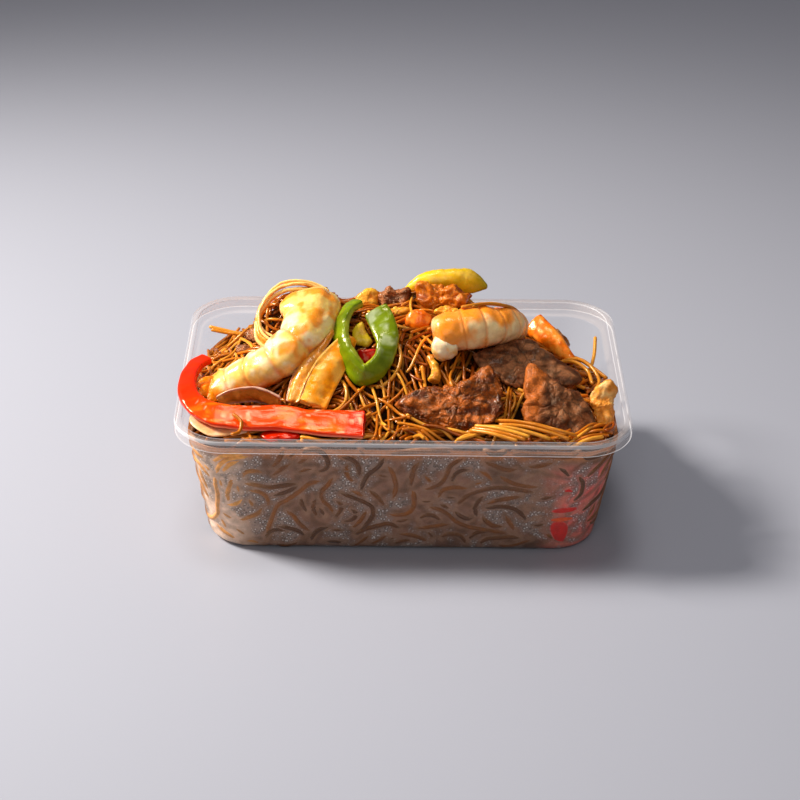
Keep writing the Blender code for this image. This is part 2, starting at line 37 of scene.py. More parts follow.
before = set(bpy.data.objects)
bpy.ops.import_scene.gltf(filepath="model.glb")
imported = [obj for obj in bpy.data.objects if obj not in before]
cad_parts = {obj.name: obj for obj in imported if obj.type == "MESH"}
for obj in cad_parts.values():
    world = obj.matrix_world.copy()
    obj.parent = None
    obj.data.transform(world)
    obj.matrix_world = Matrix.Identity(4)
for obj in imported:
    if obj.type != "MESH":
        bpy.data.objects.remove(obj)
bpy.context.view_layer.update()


def rgb(red, green, blue):
    """A display colour from 0 to 255 as a linear one."""
    channels = np.array((red, green, blue))
    return np.where(channels > 10, ((channels / 255 + 0.055) / 1.055) ** 2.4, channels / 3294)


# Random fields

def lattice(cell, seed):
    """A fixed number from -1 to 1 for each whole-number cell."""
    n = cell[..., 0] * 374761393 + cell[..., 1] * 668265263 + cell[..., 2] * 1274126177 + seed * 97531
    n = (n ^ (n >> 13)) * 1274126177
    n = n ^ (n >> 16)
    return (n & 0xFFFFF) / 0x80000 - 1.0


def field(points, size, seed=0):
    """Smooth noise from -1 to 1 with features of about the given size."""
    place = np.asarray(points, float) / size
    base = np.floor(place).astype(np.int64)
    part = place - base
    part = part * part * (3 - 2 * part)
    total = np.zeros(place.shape[:-1])
    for corner in itertools.product((0, 1), repeat=3):
        weight = np.ones(place.shape[:-1])
        for axis in range(3):
            weight = weight * (part[..., axis] if corner[axis] else 1 - part[..., axis])
        total += weight * lattice(base + np.array(corner), seed)
    return total


def fractal(points, size, seed=0, octaves=3):
    total = 0.0
    for octave in range(octaves):
        total = total + field(points, size / 2**octave, seed + 11 * octave) / 2**octave
    return total


def cells(points, size, seed=0):
    """Distances to the nearest and second nearest of scattered points, in units of the size."""
    place = np.asarray(points, float) / size
    base = np.floor(place).astype(np.int64)
    first = np.full(place.shape[:-1], 9.0)
    second = first.copy()
    for offset in itertools.product((-1, 0, 1), repeat=3):
        cell = base + np.array(offset)
        spot = np.stack([lattice(cell, seed + 5 * axis) * 0.5 + 0.5 for axis in range(3)], -1)
        gap = np.linalg.norm(cell + spot - place, axis=-1)
        second = np.minimum(second, np.maximum(first, gap))
        first = np.minimum(first, gap)
    return first, second


def patches(points, size, seed, low, high):
    """The share, from 0 to 1, of a patchy field at each point."""
    return ease(fractal(points, size, seed), low, high)


def ease(value, low, high):
    part = np.clip((np.asarray(value, float) - low) / (high - low), 0, 1)
    return part * part * (3 - 2 * part)


def blend(first, second, amount):
    """Mixes two colours, or arrays of colours, by an array of amounts."""
    amount = np.asarray(amount, float)[..., None]
    return np.asarray(first, float) * (1 - amount) + np.asarray(second, float) * amount


# Meshes

def add_object(name, data):
    obj = bpy.data.objects.new(name, data)
    bpy.context.scene.collection.objects.link(obj)
    return obj


def mesh_object(name, points, faces, tints, material, slot, nodes=()):
    mesh = bpy.data.meshes.new(name)
    mesh.vertices.add(len(points))
    mesh.vertices.foreach_set("co", (np.asarray(points, float) * MM).ravel())
    sizes = np.array([len(face) for face in faces])
    flat = np.concatenate([np.asarray(face) for face in faces])
    mesh.loops.add(len(flat))
    mesh.loops.foreach_set("vertex_index", flat)
    mesh.polygons.add(len(sizes))
    mesh.polygons.foreach_set("loop_start", np.concatenate([[0], np.cumsum(sizes)[:-1]]))
    mesh.polygons.foreach_set("loop_total", sizes)
    mesh.update(calc_edges=True)
    mesh.validate()
    if tints is not None:
        layer = mesh.color_attributes.new("tint", "FLOAT_COLOR", "POINT")
        rows = np.ones((len(points), 4))
        rows[:, : tints.shape[1]] = np.clip(tints, 0, 1)
        layer.data.foreach_set("color", rows.ravel())
    mesh.polygons.foreach_set("use_smooth", np.full(len(sizes), True))
    mesh.materials.append(material)
    obj = add_object(name, mesh)
    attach(obj, "root")
    if nodes:
        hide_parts(*nodes)
    return obj


def grid_faces(rings, sides):
    """Quads between rings of points that close round."""
    i = np.arange(rings - 1)[:, None] * sides
    j = np.arange(sides)[None, :]
    k = (j + 1) % sides
    return np.stack([i + j, i + k, i + sides + k, i + sides + j], -1).reshape(-1, 4)


def closed_faces(rings, sides):
    """Quads between rings, and fans to the two tips that follow the rings."""
    count = rings * sides
    caps = [fan_faces(0, sides, count, True), fan_faces(count - sides, sides, count + 1, False)]
    return [*grid_faces(rings, sides), *caps[0], *caps[1]]


def fan_faces(ring_start, sides, tip, flip):
    j = np.arange(sides)
    k = (j + 1) % sides
    tips = np.full(sides, tip)
    a, b = (k, j) if flip else (j, k)
    return np.stack([ring_start + a, ring_start + b, tips], -1)


def outward(grid):
    """Normals of a grid of points that closes round its second axis."""
    around = np.roll(grid, -1, 1) - np.roll(grid, 1, 1)
    along = np.gradient(grid, axis=0)
    normal = np.cross(around, along)
    length = np.linalg.norm(normal, axis=-1, keepdims=True)
    normal = normal / np.maximum(length, 1e-9)
    middle = grid.mean(axis=1, keepdims=True)
    if ((normal * (grid - middle)).sum(-1)).mean() < 0:
        normal = -normal
    return normal


ALL_FORMS = []


def body(name, grid, start, end, look, material, slot, relief=None, nodes=None, solid_form=True):
    """A closed piece from rings of points.

    Relief and look take the points, their normals and the shares along and around.
    """
    rings, sides = grid.shape[:2]
    t = np.broadcast_to(np.linspace(0, 1, rings)[:, None], (rings, sides))
    a = np.broadcast_to(np.arange(sides)[None, :] / sides, (rings, sides))
    normal = outward(grid)
    if relief is not None:
        grid = grid + normal * relief(grid, normal, t, a)[..., None]
        normal = outward(grid)
    tints = look(grid, normal, t, a)
    start = start if relief is None else grid[0].mean(0)
    end = end if relief is None else grid[-1].mean(0)
    points = np.concatenate([grid.reshape(-1, 3), [start, end]])
    colours = np.concatenate([tints.reshape(rings * sides, -1), [tints[0].mean(0), tints[-1].mean(0)]])
    faces = closed_faces(rings, sides)
    if signed_volume(grid) < 0:
        faces = [face[::-1] for face in faces]
    mesh_object(name, points, faces, colours, material, slot, nodes or [])
    if solid_form:
        ALL_FORMS.append(grid.reshape(-1, 3))


def signed_volume(grid):
    a = grid[:-1]
    b = np.roll(grid, -1, 1)[:-1]
    c = np.roll(grid, -1, 1)[1:]
    d = grid[1:]
    return (a * np.cross(b, c)).sum() + (a * np.cross(c, d)).sum()


# The same generators as the solids use, with finer steps

def unevenness(point):
    return Vector([noise.noise(point + Vector((shift, 0.0, 0.0))) for shift in (0.0, 31.7, 67.3)])


def curve_rows(rows, fine=24):
    """Rows of numbers along a smooth curve through the given rows, with the length so far."""
    rows = np.asarray(rows, float)
    ends = np.concatenate([rows[:1], rows, rows[-1:]])
    out = []
    for i in range(len(rows) - 1):
        a, b, c, d = ends[i : i + 4]
        for t in np.arange(fine) / fine:
            out.append(b + 0.5 * t * (c - a + t * (2 * a - 5 * b + 4 * c - d + t * (3 * (b - c) + d - a))))
    out.append(rows[-1])
    out = np.array(out)
    lengths = np.concatenate([[0], np.cumsum(np.linalg.norm(np.diff(out[:, :3], axis=0), axis=1))])
    return out, lengths


def sweep_grid(rows, facing=UP, rings=80, sides=40, square=2.0, cap=2.0, folds=(0, 0.0)):
    """Rings of a strip or roll. Each row holds x, y, z, half width, half thickness and roll in degrees."""
    fine, lengths = curve_rows(rows)
    total = lengths[-1]
    ends = 7
    bend = np.sin(np.linspace(0.12, math.pi / 2, ends))
    reach = 1 - np.cos(np.linspace(0.12, math.pi / 2, ends))
    middle = np.linspace(cap, total - cap, rings)
    stations = np.concatenate([cap * reach[:-1], middle, (total - cap * reach[:-1])[::-1]])
    scales = np.concatenate([bend[:-1], np.ones(rings), bend[:-1][::-1]])
    at = lambda distance: np.stack([np.interp(distance, lengths, fine[:, k]) for k in range(6)], -1)
    row = at(stations)
    along = at(np.minimum(total, stations + 0.5))[:, :3] - at(np.maximum(0, stations - 0.5))[:, :3]
    along /= np.linalg.norm(along, axis=1, keepdims=True)
    loops = []
    for i in range(len(stations)):
        direction = Vector(along[i])
        out = Vector(facing)
        out = (out - direction * out.dot(direction)).normalized()
        out = Matrix.Rotation(math.radians(row[i, 5]), 3, direction) @ out
        across = np.array(direction.cross(out))
        out = np.array(out)
        count, depth = folds
        swell = 1 + depth * (abs(math.sin(math.pi * count * stations[i] / total)) - 0.5) if count else 1.0
        angle = math.tau * (np.arange(sides) + 0.5) / sides
        c, s = np.cos(angle), np.sin(angle)
        x = np.sign(c) * abs(c) ** (2 / square) * row[i, 3] * scales[i] * swell
        y = np.sign(s) * abs(s) ** (2 / square) * row[i, 4] * scales[i] * swell
        loops.append(row[i, :3] + np.outer(x, across) + np.outer(y, out))
    return np.array(loops), fine[0, :3], fine[-1, :3]


def chunk_grid(centre, outline, depth, turn, seed, rough=0.8, bend=0.0, square=3.0, tiers=28, around=96):
    """Rings of an uneven chunk. The outline is its radii, depth is half its thickness, turn is in degrees."""
    turning = Matrix.Rotation(math.radians(turn[2]), 3, "Z")
    turning = turning @ Matrix.Rotation(math.radians(turn[1]), 3, "Y")
    turning = turning @ Matrix.Rotation(math.radians(turn[0]), 3, "X")
    middle = Vector(centre)
    offset = Vector((seed * 7.3, seed * 3.1, seed * 5.7))
    radii = np.interp(
        np.arange(around) / around, np.arange(len(outline) + 1) / len(outline), [*outline, outline[0]],
    )

    def place(x, y, z):
        z -= bend * x * x
        point = Vector((x, y, z))
        point += unevenness(point * 0.22 + offset) * rough
        return middle + turning @ point

    loops = []
    half = [0.05 + 0.95 * math.sin(math.pi / 2 * k / (tiers // 2)) ** 1.2 for k in range(tiers // 2)]
    for wide, sign in [*((w, -1) for w in half), (1.0, 0), *((w, 1) for w in reversed(half))]:
        high = sign * (1 - wide**square) ** (1 / square) * depth
        loop = []
        for i in range(around):
            turned = math.tau * i / around
            loop.append(place(radii[i] * wide * math.cos(turned), radii[i] * wide * math.sin(turned), high))
        loops.append(loop)
    return np.array(loops), np.array(place(0, 0, -depth)), np.array(place(0, 0, depth))


# How far a strand's tip goes past its path, and how wide it is there, as shares of the radius.
TIP_REACH = 0.55
TIP_SIZE = 0.62


def strand_tubes(paths, radii, tints, sides=6):
    """Round strands with rounded ends, joined as one set of points, faces and colours."""
    points, faces, colours = [], [], []
    start = 0
    turn = math.tau * np.arange(sides) / sides
    for path, radius, tint in zip(paths, radii, tints):
        path = np.asarray(path, float)
        along = np.gradient(path, axis=0)
        along /= np.maximum(np.linalg.norm(along, axis=1, keepdims=True), 1e-9)
        across = np.cross(along, UP)
        length = np.linalg.norm(across, axis=1, keepdims=True)
        across = np.where(length > 0.05, across / np.maximum(length, 1e-9), (1.0, 0.0, 0.0))
        out = np.cross(across, along)
        radius = np.broadcast_to(radius, len(path)).astype(float).copy()
        first = path[:1] - along[:1] * radius[0] * TIP_REACH
        last = path[-1:] + along[-1:] * radius[-1] * TIP_REACH
        centre = np.concatenate([first, path, last])
        size = np.concatenate([[radius[0] * TIP_SIZE], radius, [radius[-1] * TIP_SIZE]])
        across = np.concatenate([across[:1], across, across[-1:]])
        out = np.concatenate([out[:1], out, out[-1:]])
        ring = np.cos(turn)[:, None] * across[:, None, :] + np.sin(turn)[:, None] * out[:, None, :]
        grid = centre[:, None, :] + ring * size[:, None, None]
        rings = len(centre)
        points.append(grid.reshape(-1, 3))
        faces.append(grid_faces(rings, sides)[:, ::-1] + start)
        low = start + np.arange(sides)
        high = start + (rings - 1) * sides + np.arange(sides)
        for ring_ids, flip in ((low, False), (high, True)):
            order = ring_ids[::-1] if flip else ring_ids
            quads = [(order[0], *order[k : k + 3]) for k in range(1, sides - 2, 2)]
            faces.append(np.array(quads))
        tint = np.broadcast_to(tint, (len(path), 3))
        tint = np.concatenate([tint[:1], tint, tint[-1:]])
        colours.append(np.repeat(tint, sides, axis=0))
        start += rings * sides
    return np.concatenate(points), np.concatenate(faces), np.concatenate(colours)


# Materials

def plain(name):
    material = bpy.data.materials.new(name)
    material.use_nodes = True
    tree = material.node_tree
    shader = tree.nodes["Principled BSDF"]
    return material, tree, shader


def node(tree, kind, **values):
    made = tree.nodes.new(kind)
    for key, value in values.items():
        if key in made.inputs:
            made.inputs[key].default_value = value
        else:
            setattr(made, key, value)
    return made


def mixed(tree, mode, factor, first, second):
    """A colour mix. Factor may be a number or a socket, and so may the colours."""
    mix = node(tree, "ShaderNodeMix", data_type="RGBA", blend_type=mode)
    for socket, value in ((mix.inputs[0], factor), (mix.inputs[6], first), (mix.inputs[7], second)):
        if isinstance(value, bpy.types.NodeSocket):
            tree.links.new(value, socket)
        elif socket.type == "RGBA":
            socket.default_value = (*value, 1.0)
        else:
            socket.default_value = value
    return mix.outputs[2]


def ranged(tree, source, low, high, to_low, to_high):
    made = node(tree, "ShaderNodeMapRange")
    made.inputs[1].default_value = low
    made.inputs[2].default_value = high
    made.inputs[3].default_value = to_low
    made.inputs[4].default_value = to_high
    tree.links.new(source, made.inputs[0])
    return made.outputs[0]


GLOSS_TINT = (1.0, 0.76, 0.46, 1.0)


def food_material(
    name,
    mottle=0.25,
    mottle_size=2.0,
    grain=0.3,
    grain_size=0.8,
    bump=0.3,
    rough=(0.2, 0.4),
    coat=0.1,
    glow=0.0,
    height=0.4,
    gloss=GLOSS_TINT,
):
    """Wet food: painted tints with fine colour change, uneven gloss and fine relief."""
    material, tree, shader = plain(name)
    tint = node(tree, "ShaderNodeAttribute", attribute_name="tint")
    place = node(tree, "ShaderNodeTexCoord")
    broad = node(tree, "ShaderNodeTexNoise", Scale=1000 / mottle_size, Detail=3.0)
    fine = node(tree, "ShaderNodeTexNoise", Scale=1000 / grain_size, Detail=4.0, Roughness=0.6)
    for texture in (broad, fine):
        tree.links.new(place.outputs["Object"], texture.inputs["Vector"])
    colour = tint.outputs["Color"]
    for texture, share in ((broad, mottle), (fine, grain)):
        scaled = node(tree, "ShaderNodeVectorMath", operation="SCALE")
        tree.links.new(colour, scaled.inputs[0])
        change = ranged(tree, texture.outputs["Fac"], 0.3, 0.7, 1 - share, 1 + share)
        tree.links.new(change, scaled.inputs["Scale"])
        colour = scaled.outputs[0]
    tree.links.new(colour, shader.inputs["Base Color"])
    tree.links.new(ranged(tree, broad.outputs["Fac"], 0.3, 0.7, *rough), shader.inputs["Roughness"])
    relief = node(tree, "ShaderNodeBump", Strength=bump, Distance=height * MM)
    tree.links.new(fine.outputs["Fac"], relief.inputs["Height"])
    tree.links.new(relief.outputs[0], shader.inputs["Normal"])
    shader.inputs["Specular Tint"].default_value = gloss
    shader.inputs["Coat Weight"].default_value = coat
    shader.inputs["Coat Roughness"].default_value = 0.12
    if glow:
        shader.inputs["Subsurface Weight"].default_value = glow
        shader.inputs["Subsurface Radius"].default_value = (1.0, 0.5, 0.2)
        shader.inputs["Subsurface Scale"].default_value = 0.002
    return material


def plastic_material(name, alpha, tint=(0.80, 0.79, 0.82), rough=(0.10, 0.22)):
    """Clear moulded plastic with a faint uneven gloss."""
    material, tree, shader = plain(name)
    place = node(tree, "ShaderNodeTexCoord")
    ripple = node(tree, "ShaderNodeTexNoise", Scale=120.0, Detail=2.0)
    tree.links.new(place.outputs["Object"], ripple.inputs["Vector"])
    tint = np.array(tint)
    colour = mixed(tree, "MIX", ripple.outputs["Fac"], tint * 0.94, np.minimum(1, tint * 1.05))
    tree.links.new(colour, shader.inputs["Base Color"])
    tree.links.new(ranged(tree, ripple.outputs["Fac"], 0.35, 0.65, *rough), shader.inputs["Roughness"])
    relief = node(tree, "ShaderNodeBump", Strength=0.015, Distance=0.3 * MM)
    tree.links.new(ripple.outputs["Fac"], relief.inputs["Height"])
    tree.links.new(relief.outputs[0], shader.inputs["Normal"])
    shader.inputs["Alpha"].default_value = alpha
    shader.inputs["IOR"].default_value = 1.49
    return material


def fog_material():
    """The misted inside of the wall: painted tints under fine droplets that each carry a painted highlight,
    where the tint's alpha lets them.
    """
    material, tree, shader = plain("misted_noodles")
    tint = node(tree, "ShaderNodeAttribute", attribute_name="tint")
    place = node(tree, "ShaderNodeTexCoord")
    drops = node(tree, "ShaderNodeTexVoronoi", Scale=820.0, Randomness=0.9)
    patch = node(tree, "ShaderNodeTexNoise", Scale=85.0, Detail=2.5)
    fine = node(tree, "ShaderNodeTexNoise", Scale=500.0, Detail=3.0)
    for texture in (drops, patch, fine):
        tree.links.new(place.outputs["Object"], texture.inputs["Vector"])
    mask = ranged(tree, patch.outputs["Fac"], 0.45, 0.57, 0.0, 0.8)
    share = node(tree, "ShaderNodeMath", operation="MULTIPLY")
    tree.links.new(mask, share.inputs[0])
    tree.links.new(tint.outputs["Alpha"], share.inputs[1])
    # Each drop: a painted highlight at its middle, a dark ring round it, then paler mist.
    ramp = node(tree, "ShaderNodeValToRGB")
    ramp.color_ramp.elements[0].position = 0.22
    ramp.color_ramp.elements[0].color = (0.8, 0.72, 0.66, 1.0)
    ramp.color_ramp.elements[1].position = 0.38
    ramp.color_ramp.elements[1].color = (0.05, 0.035, 0.03, 1.0)
    pale = ramp.color_ramp.elements.new(0.62)
    pale.color = (0.33, 0.235, 0.195, 1.0)
    tree.links.new(drops.outputs["Distance"], ramp.inputs[0])
    misted = mixed(tree, "MIX", share.outputs[0], tint.outputs["Color"], ramp.outputs["Color"])
    shade = node(tree, "ShaderNodeVectorMath", operation="SCALE")
    tree.links.new(misted, shade.inputs[0])
    tree.links.new(ranged(tree, fine.outputs["Fac"], 0.3, 0.7, 0.82, 1.18), shade.inputs["Scale"])
    tree.links.new(shade.outputs[0], shader.inputs["Base Color"])
    shader.inputs["Roughness"].default_value = 0.6
    shader.inputs["Specular Tint"].default_value = GLOSS_TINT
    relief = node(tree, "ShaderNodeBump", Strength=0.2, Distance=0.2 * MM)
    tree.links.new(drops.outputs["Distance"], relief.inputs["Height"])
    tree.links.new(relief.outputs[0], shader.inputs["Normal"])
    return material


# The box

# Length, width, radius and height of the box's surface, from the base up, over the rim and down inside.
BOX_LOOPS = [
    (144.0, 92.0, 14.6, 0.0),
    (146.4, 94.4, 15.8, 0.25),
    (148.4, 96.4, 16.8, 1.0),
    (150.0, 98.0, 17.3, 2.2),
    (151.0, 99.0, 17.5, 3.8),
    (151.8, 99.8, 17.4, 6.0),
    (162.7, 110.7, 15.4, 47.2),
    (163.1, 111.1, 15.5, 47.9),
    (164.2, 112.2, 16.1, 48.15),
    (165.8, 113.8, 16.9, 48.2),
    (166.4, 114.4, 17.2, 48.6),
    (167.4, 115.4, 17.6, 53.0),
    (167.7, 115.7, 17.7, 53.25),
    (169.9, 117.9, 18.8, 53.25),
    (170.2, 118.2, 18.9, 53.0),
    (170.6, 118.6, 19.1, 49.2),
    (170.9, 118.9, 19.2, 49.0),
    (171.7, 119.7, 19.7, 49.0),
    (172.0, 120.0, 19.8, 49.3),
    (172.0, 120.0, 19.8, 52.4),
    (171.8, 119.8, 19.7, 53.2),
    (171.3, 119.3, 19.5, 53.75),
    (170.4, 118.4, 19.0, 54.0),
    (167.2, 115.2, 17.5, 54.0),
    (166.3, 114.3, 17.1, 53.85),
    (166.0, 114.0, 16.9, 53.4),
    (165.1, 113.1, 16.4, 49.3),
    (164.6, 112.6, 16.2, 48.9),
    (162.6, 110.6, 15.3, 48.7),
    (161.7, 109.7, 14.9, 48.5),
    (161.3, 109.3, 14.7, 47.8),
    (150.2, 98.2, 16.9, 5.6),
    (149.4, 97.4, 16.8, 3.6),
    (148.3, 96.3, 16.4, 2.0),
    (146.6, 94.6, 15.6, 1.1),
    (144.6, 92.6, 14.8, 0.75),
    (143.0, 91.0, 14.0, 0.7),
]
RIM_ROWS = (7, 29)
# Rows that take the whiter, more opaque edge plastic, which paints the bright highlight lines along the rim's
# edges.
EDGE_ROWS = (16, 17, 19, 20, 24)

# Nominal lengths of the parts of the wall's way round, which carry the coordinate u.
LONG_RUN = 124.0
SHORT_RUN = 72.0
CORNER_RUN = 25.0
AROUND = 2 * (LONG_RUN + SHORT_RUN) + 4 * CORNER_RUN
RUNS = (LONG_RUN, CORNER_RUN, SHORT_RUN, CORNER_RUN) * 2


def ring_points(u, length, width, radius):
    """Points and outward directions on a rounded rectangle, for u from the front left, anticlockwise."""
    u = np.mod(u, AROUND)
    starts = np.concatenate([[0], np.cumsum(RUNS)])
    part = np.searchsorted(starts, u, side="right") - 1
    part = np.clip(part, 0, 7)
    f = (u - starts[part]) / np.array(RUNS)[part]
    side = part // 2
    turn = side * math.pi / 2
    half_x = np.where(side % 2 == 0, length / 2, width / 2)
    half_y = np.where(side % 2 == 0, width / 2, length / 2)
    straight = part % 2 == 0
    angle = np.where(straight, 0.0, f * math.pi / 2)
    x = np.where(straight, (2 * f - 1) * (half_x - radius), half_x - radius + radius * np.sin(angle))
    y = np.where(straight, -half_y, -half_y + radius - radius * np.cos(angle))
    nx = np.sin(angle)
    ny = -np.cos(angle)
    c, s = np.cos(turn), np.sin(turn)
    points = np.stack([x * c - y * s, x * s + y * c], -1)
    normals = np.stack([nx * c - ny * s, nx * s + ny * c], -1)
    return points, normals


def inner_size(z):
    rows = np.array(BOX_LOOPS[29:][::-1])
    return [np.interp(z, rows[:, 3], rows[:, k]) for k in range(3)]


def wall_points(u, z, outset=0.0):
    """Places on the inside of the wall at a height, moved out by an amount."""
    length, width, radius = inner_size(z)
    flat, normals = ring_points(u, length, width, radius)
    flat = flat + normals * np.asarray(outset, float)[..., None]
    return np.concatenate(
        [flat, np.broadcast_to(np.asarray(z, float)[..., None], (*flat.shape[:-1], 1))], -1,
    )


def ring_steps(corner=18, long_side=10, short_side=7):
    counts = (long_side, corner, short_side, corner) * 2
    starts = np.concatenate([[0], np.cumsum(RUNS)])
    return np.concatenate([starts[k] + RUNS[k] * np.arange(counts[k]) / counts[k] for k in range(8)])


def make_box():
    u = ring_steps()
    rows = np.array(BOX_LOOPS)
    fine = []
    slot_of = []
    for k, (first, last) in enumerate(zip(rows, rows[1:])):
        steps = 8 if abs(last[3] - first[3]) > 20 else 2
        fine += [first + (last - first) * step / steps for step in range(steps)]
        slot_of += [2 if k in EDGE_ROWS else 1 if RIM_ROWS[0] <= k < RIM_ROWS[1] else 0] * steps
    fine.append(rows[-1])
    grid = []
    for length, width, radius, height in fine:
        flat, _ = ring_points(u, length, width, radius)
        grid.append(np.concatenate([flat, np.full((len(u), 1), height)], -1))
    grid = np.array(grid)
    sides = len(u)
    points = np.concatenate([grid.reshape(-1, 3), [(0, 0, 0.0), (0, 0, 0.7)]])
    faces = closed_faces(len(grid), sides)
    wall = plastic_material("clear_wall", 0.045)
    obj = mesh_object("clear_box", points, faces, None, wall, "container", ["box"])
    obj.data.materials.append(plastic_material("clear_rim", 0.075, (0.98, 0.80, 0.70)))
    # Painted highlight: the rim's edge rows get whiter, more opaque plastic.
    obj.data.materials.append(plastic_material("clear_edge", 0.45, (0.97, 0.95, 0.97)))
    slots = np.zeros(len(faces), np.int32)
    slots[: len(slot_of) * sides] = np.repeat(slot_of, sides)
    obj.data.polygons.foreach_set("material_index", slots)


def heap_height(x, y):
    """Top of the noodles before the toppings press into them."""
    across = np.exp(-(np.abs(x / 60) ** 3.4))
    along = np.exp(-(np.abs((y - 8) / 38) ** 2.6))
    back = ease(y, -15, 45)
    corner = np.minimum(1.0, np.abs(x) / 78) ** 2.6
    low = np.where(x < 0, 9, 19)
    return 49.5 - 4 * back - low * corner * back + 24 * across * along


# Noodles seen through the wall

WALL_CELL = 0.5
WALL_TOP = 50.0
STRAND_LOW = 1.2
STRAND_HIGH = 48.6
STRAND_STEP = 1.2

# Strands that show on the front wall, as places along it and heights.
FRONT_CURVES = [
    [(-59.5, 32), (-54.5, 31), (-50, 30), (-44.5, 31), (-39.5, 32)],
    [(-58, 28.5), (-54.5, 28), (-51.5, 26), (-50.5, 23), (-51, 21)],
    [(-30.5, 33.5), (-35, 32), (-39, 28), (-43.5, 24), (-47, 21.5), (-48.5, 18), (-51.5, 8)],
    [(-39, 31), (-43.5, 28), (-46, 27), (-49, 26)],
    [(-26, 35.5), (-28, 31.5), (-30.5, 28), (-30, 24), (-27.5, 21), (-26, 18)],
    [(-7, 45), (-9, 40.5), (-13, 36.5), (-15, 32), (-15.5, 29)],
    [(-5.5, 41), (-3.5, 36.5), (-2.5, 31), (-3.5, 25.5)],
    [(-23, 27.5), (-18.5, 25.5), (-14.5, 23.5), (-11.5, 21), (-11, 17.5), (-12.5, 14), (-15.5, 9.5)],
    [(-25, 24), (-23, 22), (-23.5, 19), (-25.5, 15.5)],
    [(-19.5, 20), (-17.5, 18), (-18.5, 15), (-22, 14)],
    [(-47, 11), (-43.5, 10.5), (-39.5, 9), (-37, 6.5)],
    [(-52, 4), (-51, 7.5), (-48, 9.5), (-44.5, 9)],
    [(-62, 14), (-58, 15.5), (-54.5, 17.5), (-53, 20.5)],
    [(-35, 3), (-33.5, 7.5), (-31, 10), (-28, 11)],
    [(-18, 7), (-14.5, 10), (-9, 12), (-5, 13), (-1, 11)],
    [(-39.5, 37), (-37, 38.5), (-33.5, 39)],
    [(-49, 35.5), (-45.5, 38.5), (-42, 41.5)],
    [(-61.5, 1.5), (-59, 4), (-55.5, 3.5), (-53, 1.5)],
    [(-64, 9.5), (-61.5, 8), (-60, 6)],
    [(-71, 41.5), (-67.5, 44.5), (-63, 45.5), (-59, 45.5)],
    [(-70, 35.5), (-69, 39.5), (-66.5, 42.5), (-62, 44), (-57.5, 44.5)],
    [(-68, 37), (-65, 40.5), (-61, 42.5)],
    [(-66.5, 21), (-63, 22), (-60.5, 24)],
    [(30, 43.5), (34, 41.5), (38.5, 39.5), (42.5, 40)],
    [(22, 44.5), (18, 41.5), (16.5, 37.5), (15, 33.5), (12, 31), (8.5, 30)],
    [(13.5, 25.5), (15, 29.5), (19.5, 31), (25, 30.5)],
    [(21, 23), (24.5, 27), (29.5, 29.5), (35, 31), (41.5, 30.5), (49.5, 29)],
    [(36.5, 36.5), (40.5, 33.5), (45.5, 32), (51, 31.5)],
    [(10, 21.5), (14.5, 20), (17.5, 17.5), (21, 14), (25, 12), (31.5, 10.5), (40, 9)],
    [(31.5, 23), (36, 25), (40.5, 26), (45, 27)],
    [(31, 21), (37, 22), (42, 21), (45.5, 18), (47, 15.5)],
    [(6, 11), (10, 11.5), (14.5, 12.5), (18, 13)],
    [(39, 18), (41, 14), (43, 10)],
    [(15, 6), (17, 8), (21, 8), (23.5, 6), (25, 2)],
    [(25, 5), (28.5, 9), (33, 9.5)],
    [(29.5, 2), (31.5, 5.5), (36, 6.5), (41.5, 7), (45.5, 6.5)],
    [(-1, 8), (3.5, 7.5), (7.5, 6), (11, 4)],
    [(66.5, 36.5), (68, 33), (67.5, 28), (65, 25)],
    [(28, 39), (31, 37.5), (33.5, 34.5)],
    [(57.5, 41), (60, 39.5), (62, 37)],
    [(6, 43), (4, 39), (3, 31.5)],
]
GOLD_BUNDLE = (19, 20, 21, 22)


def flow_field(seed):
    """The way that strands lie at each millimetre of the wall: mostly level, with swirls."""
    u, v = np.meshgrid(np.arange(int(AROUND) + 1), np.arange(52), indexing="ij")
    turn = math.tau * u / AROUND
    place = np.stack([AROUND / math.tau * np.cos(turn), AROUND / math.tau * np.sin(turn), v * 1.2], -1)
    return 1.6 * field(place, 24, seed) + 0.9 * field(place, 10, seed + 1)


def disc(reach, cell):
    steps = int(reach / cell)
    spots = [(i, j) for i in range(-steps, steps + 1) for j in range(-steps, steps + 1)]
    return np.array([spot for spot in spots if math.hypot(*spot) * cell <= reach])


def front_curve(points):
    """A strand of the front wall as a path in the wall's own coordinates."""
    path = smooth_path([(x, z, 0.0) for x, z in points])
    half_x, radius = (inner_size(path[:, 1])[k] / (2 - k // 2) for k in (0, 2))
    straight = half_x - radius
    u = (path[:, 0] / straight + 1) / 2 * LONG_RUN
    around = (np.abs(path[:, 0]) - straight) / radius
    corner = CORNER_RUN * np.clip(around, 0, 1) ** 1.2 * 0.75
    u = np.where(path[:, 0] > straight, LONG_RUN + corner, np.where(path[:, 0] < -straight, -corner, u))
    return np.stack([np.mod(u, AROUND), path[:, 1]], -1)


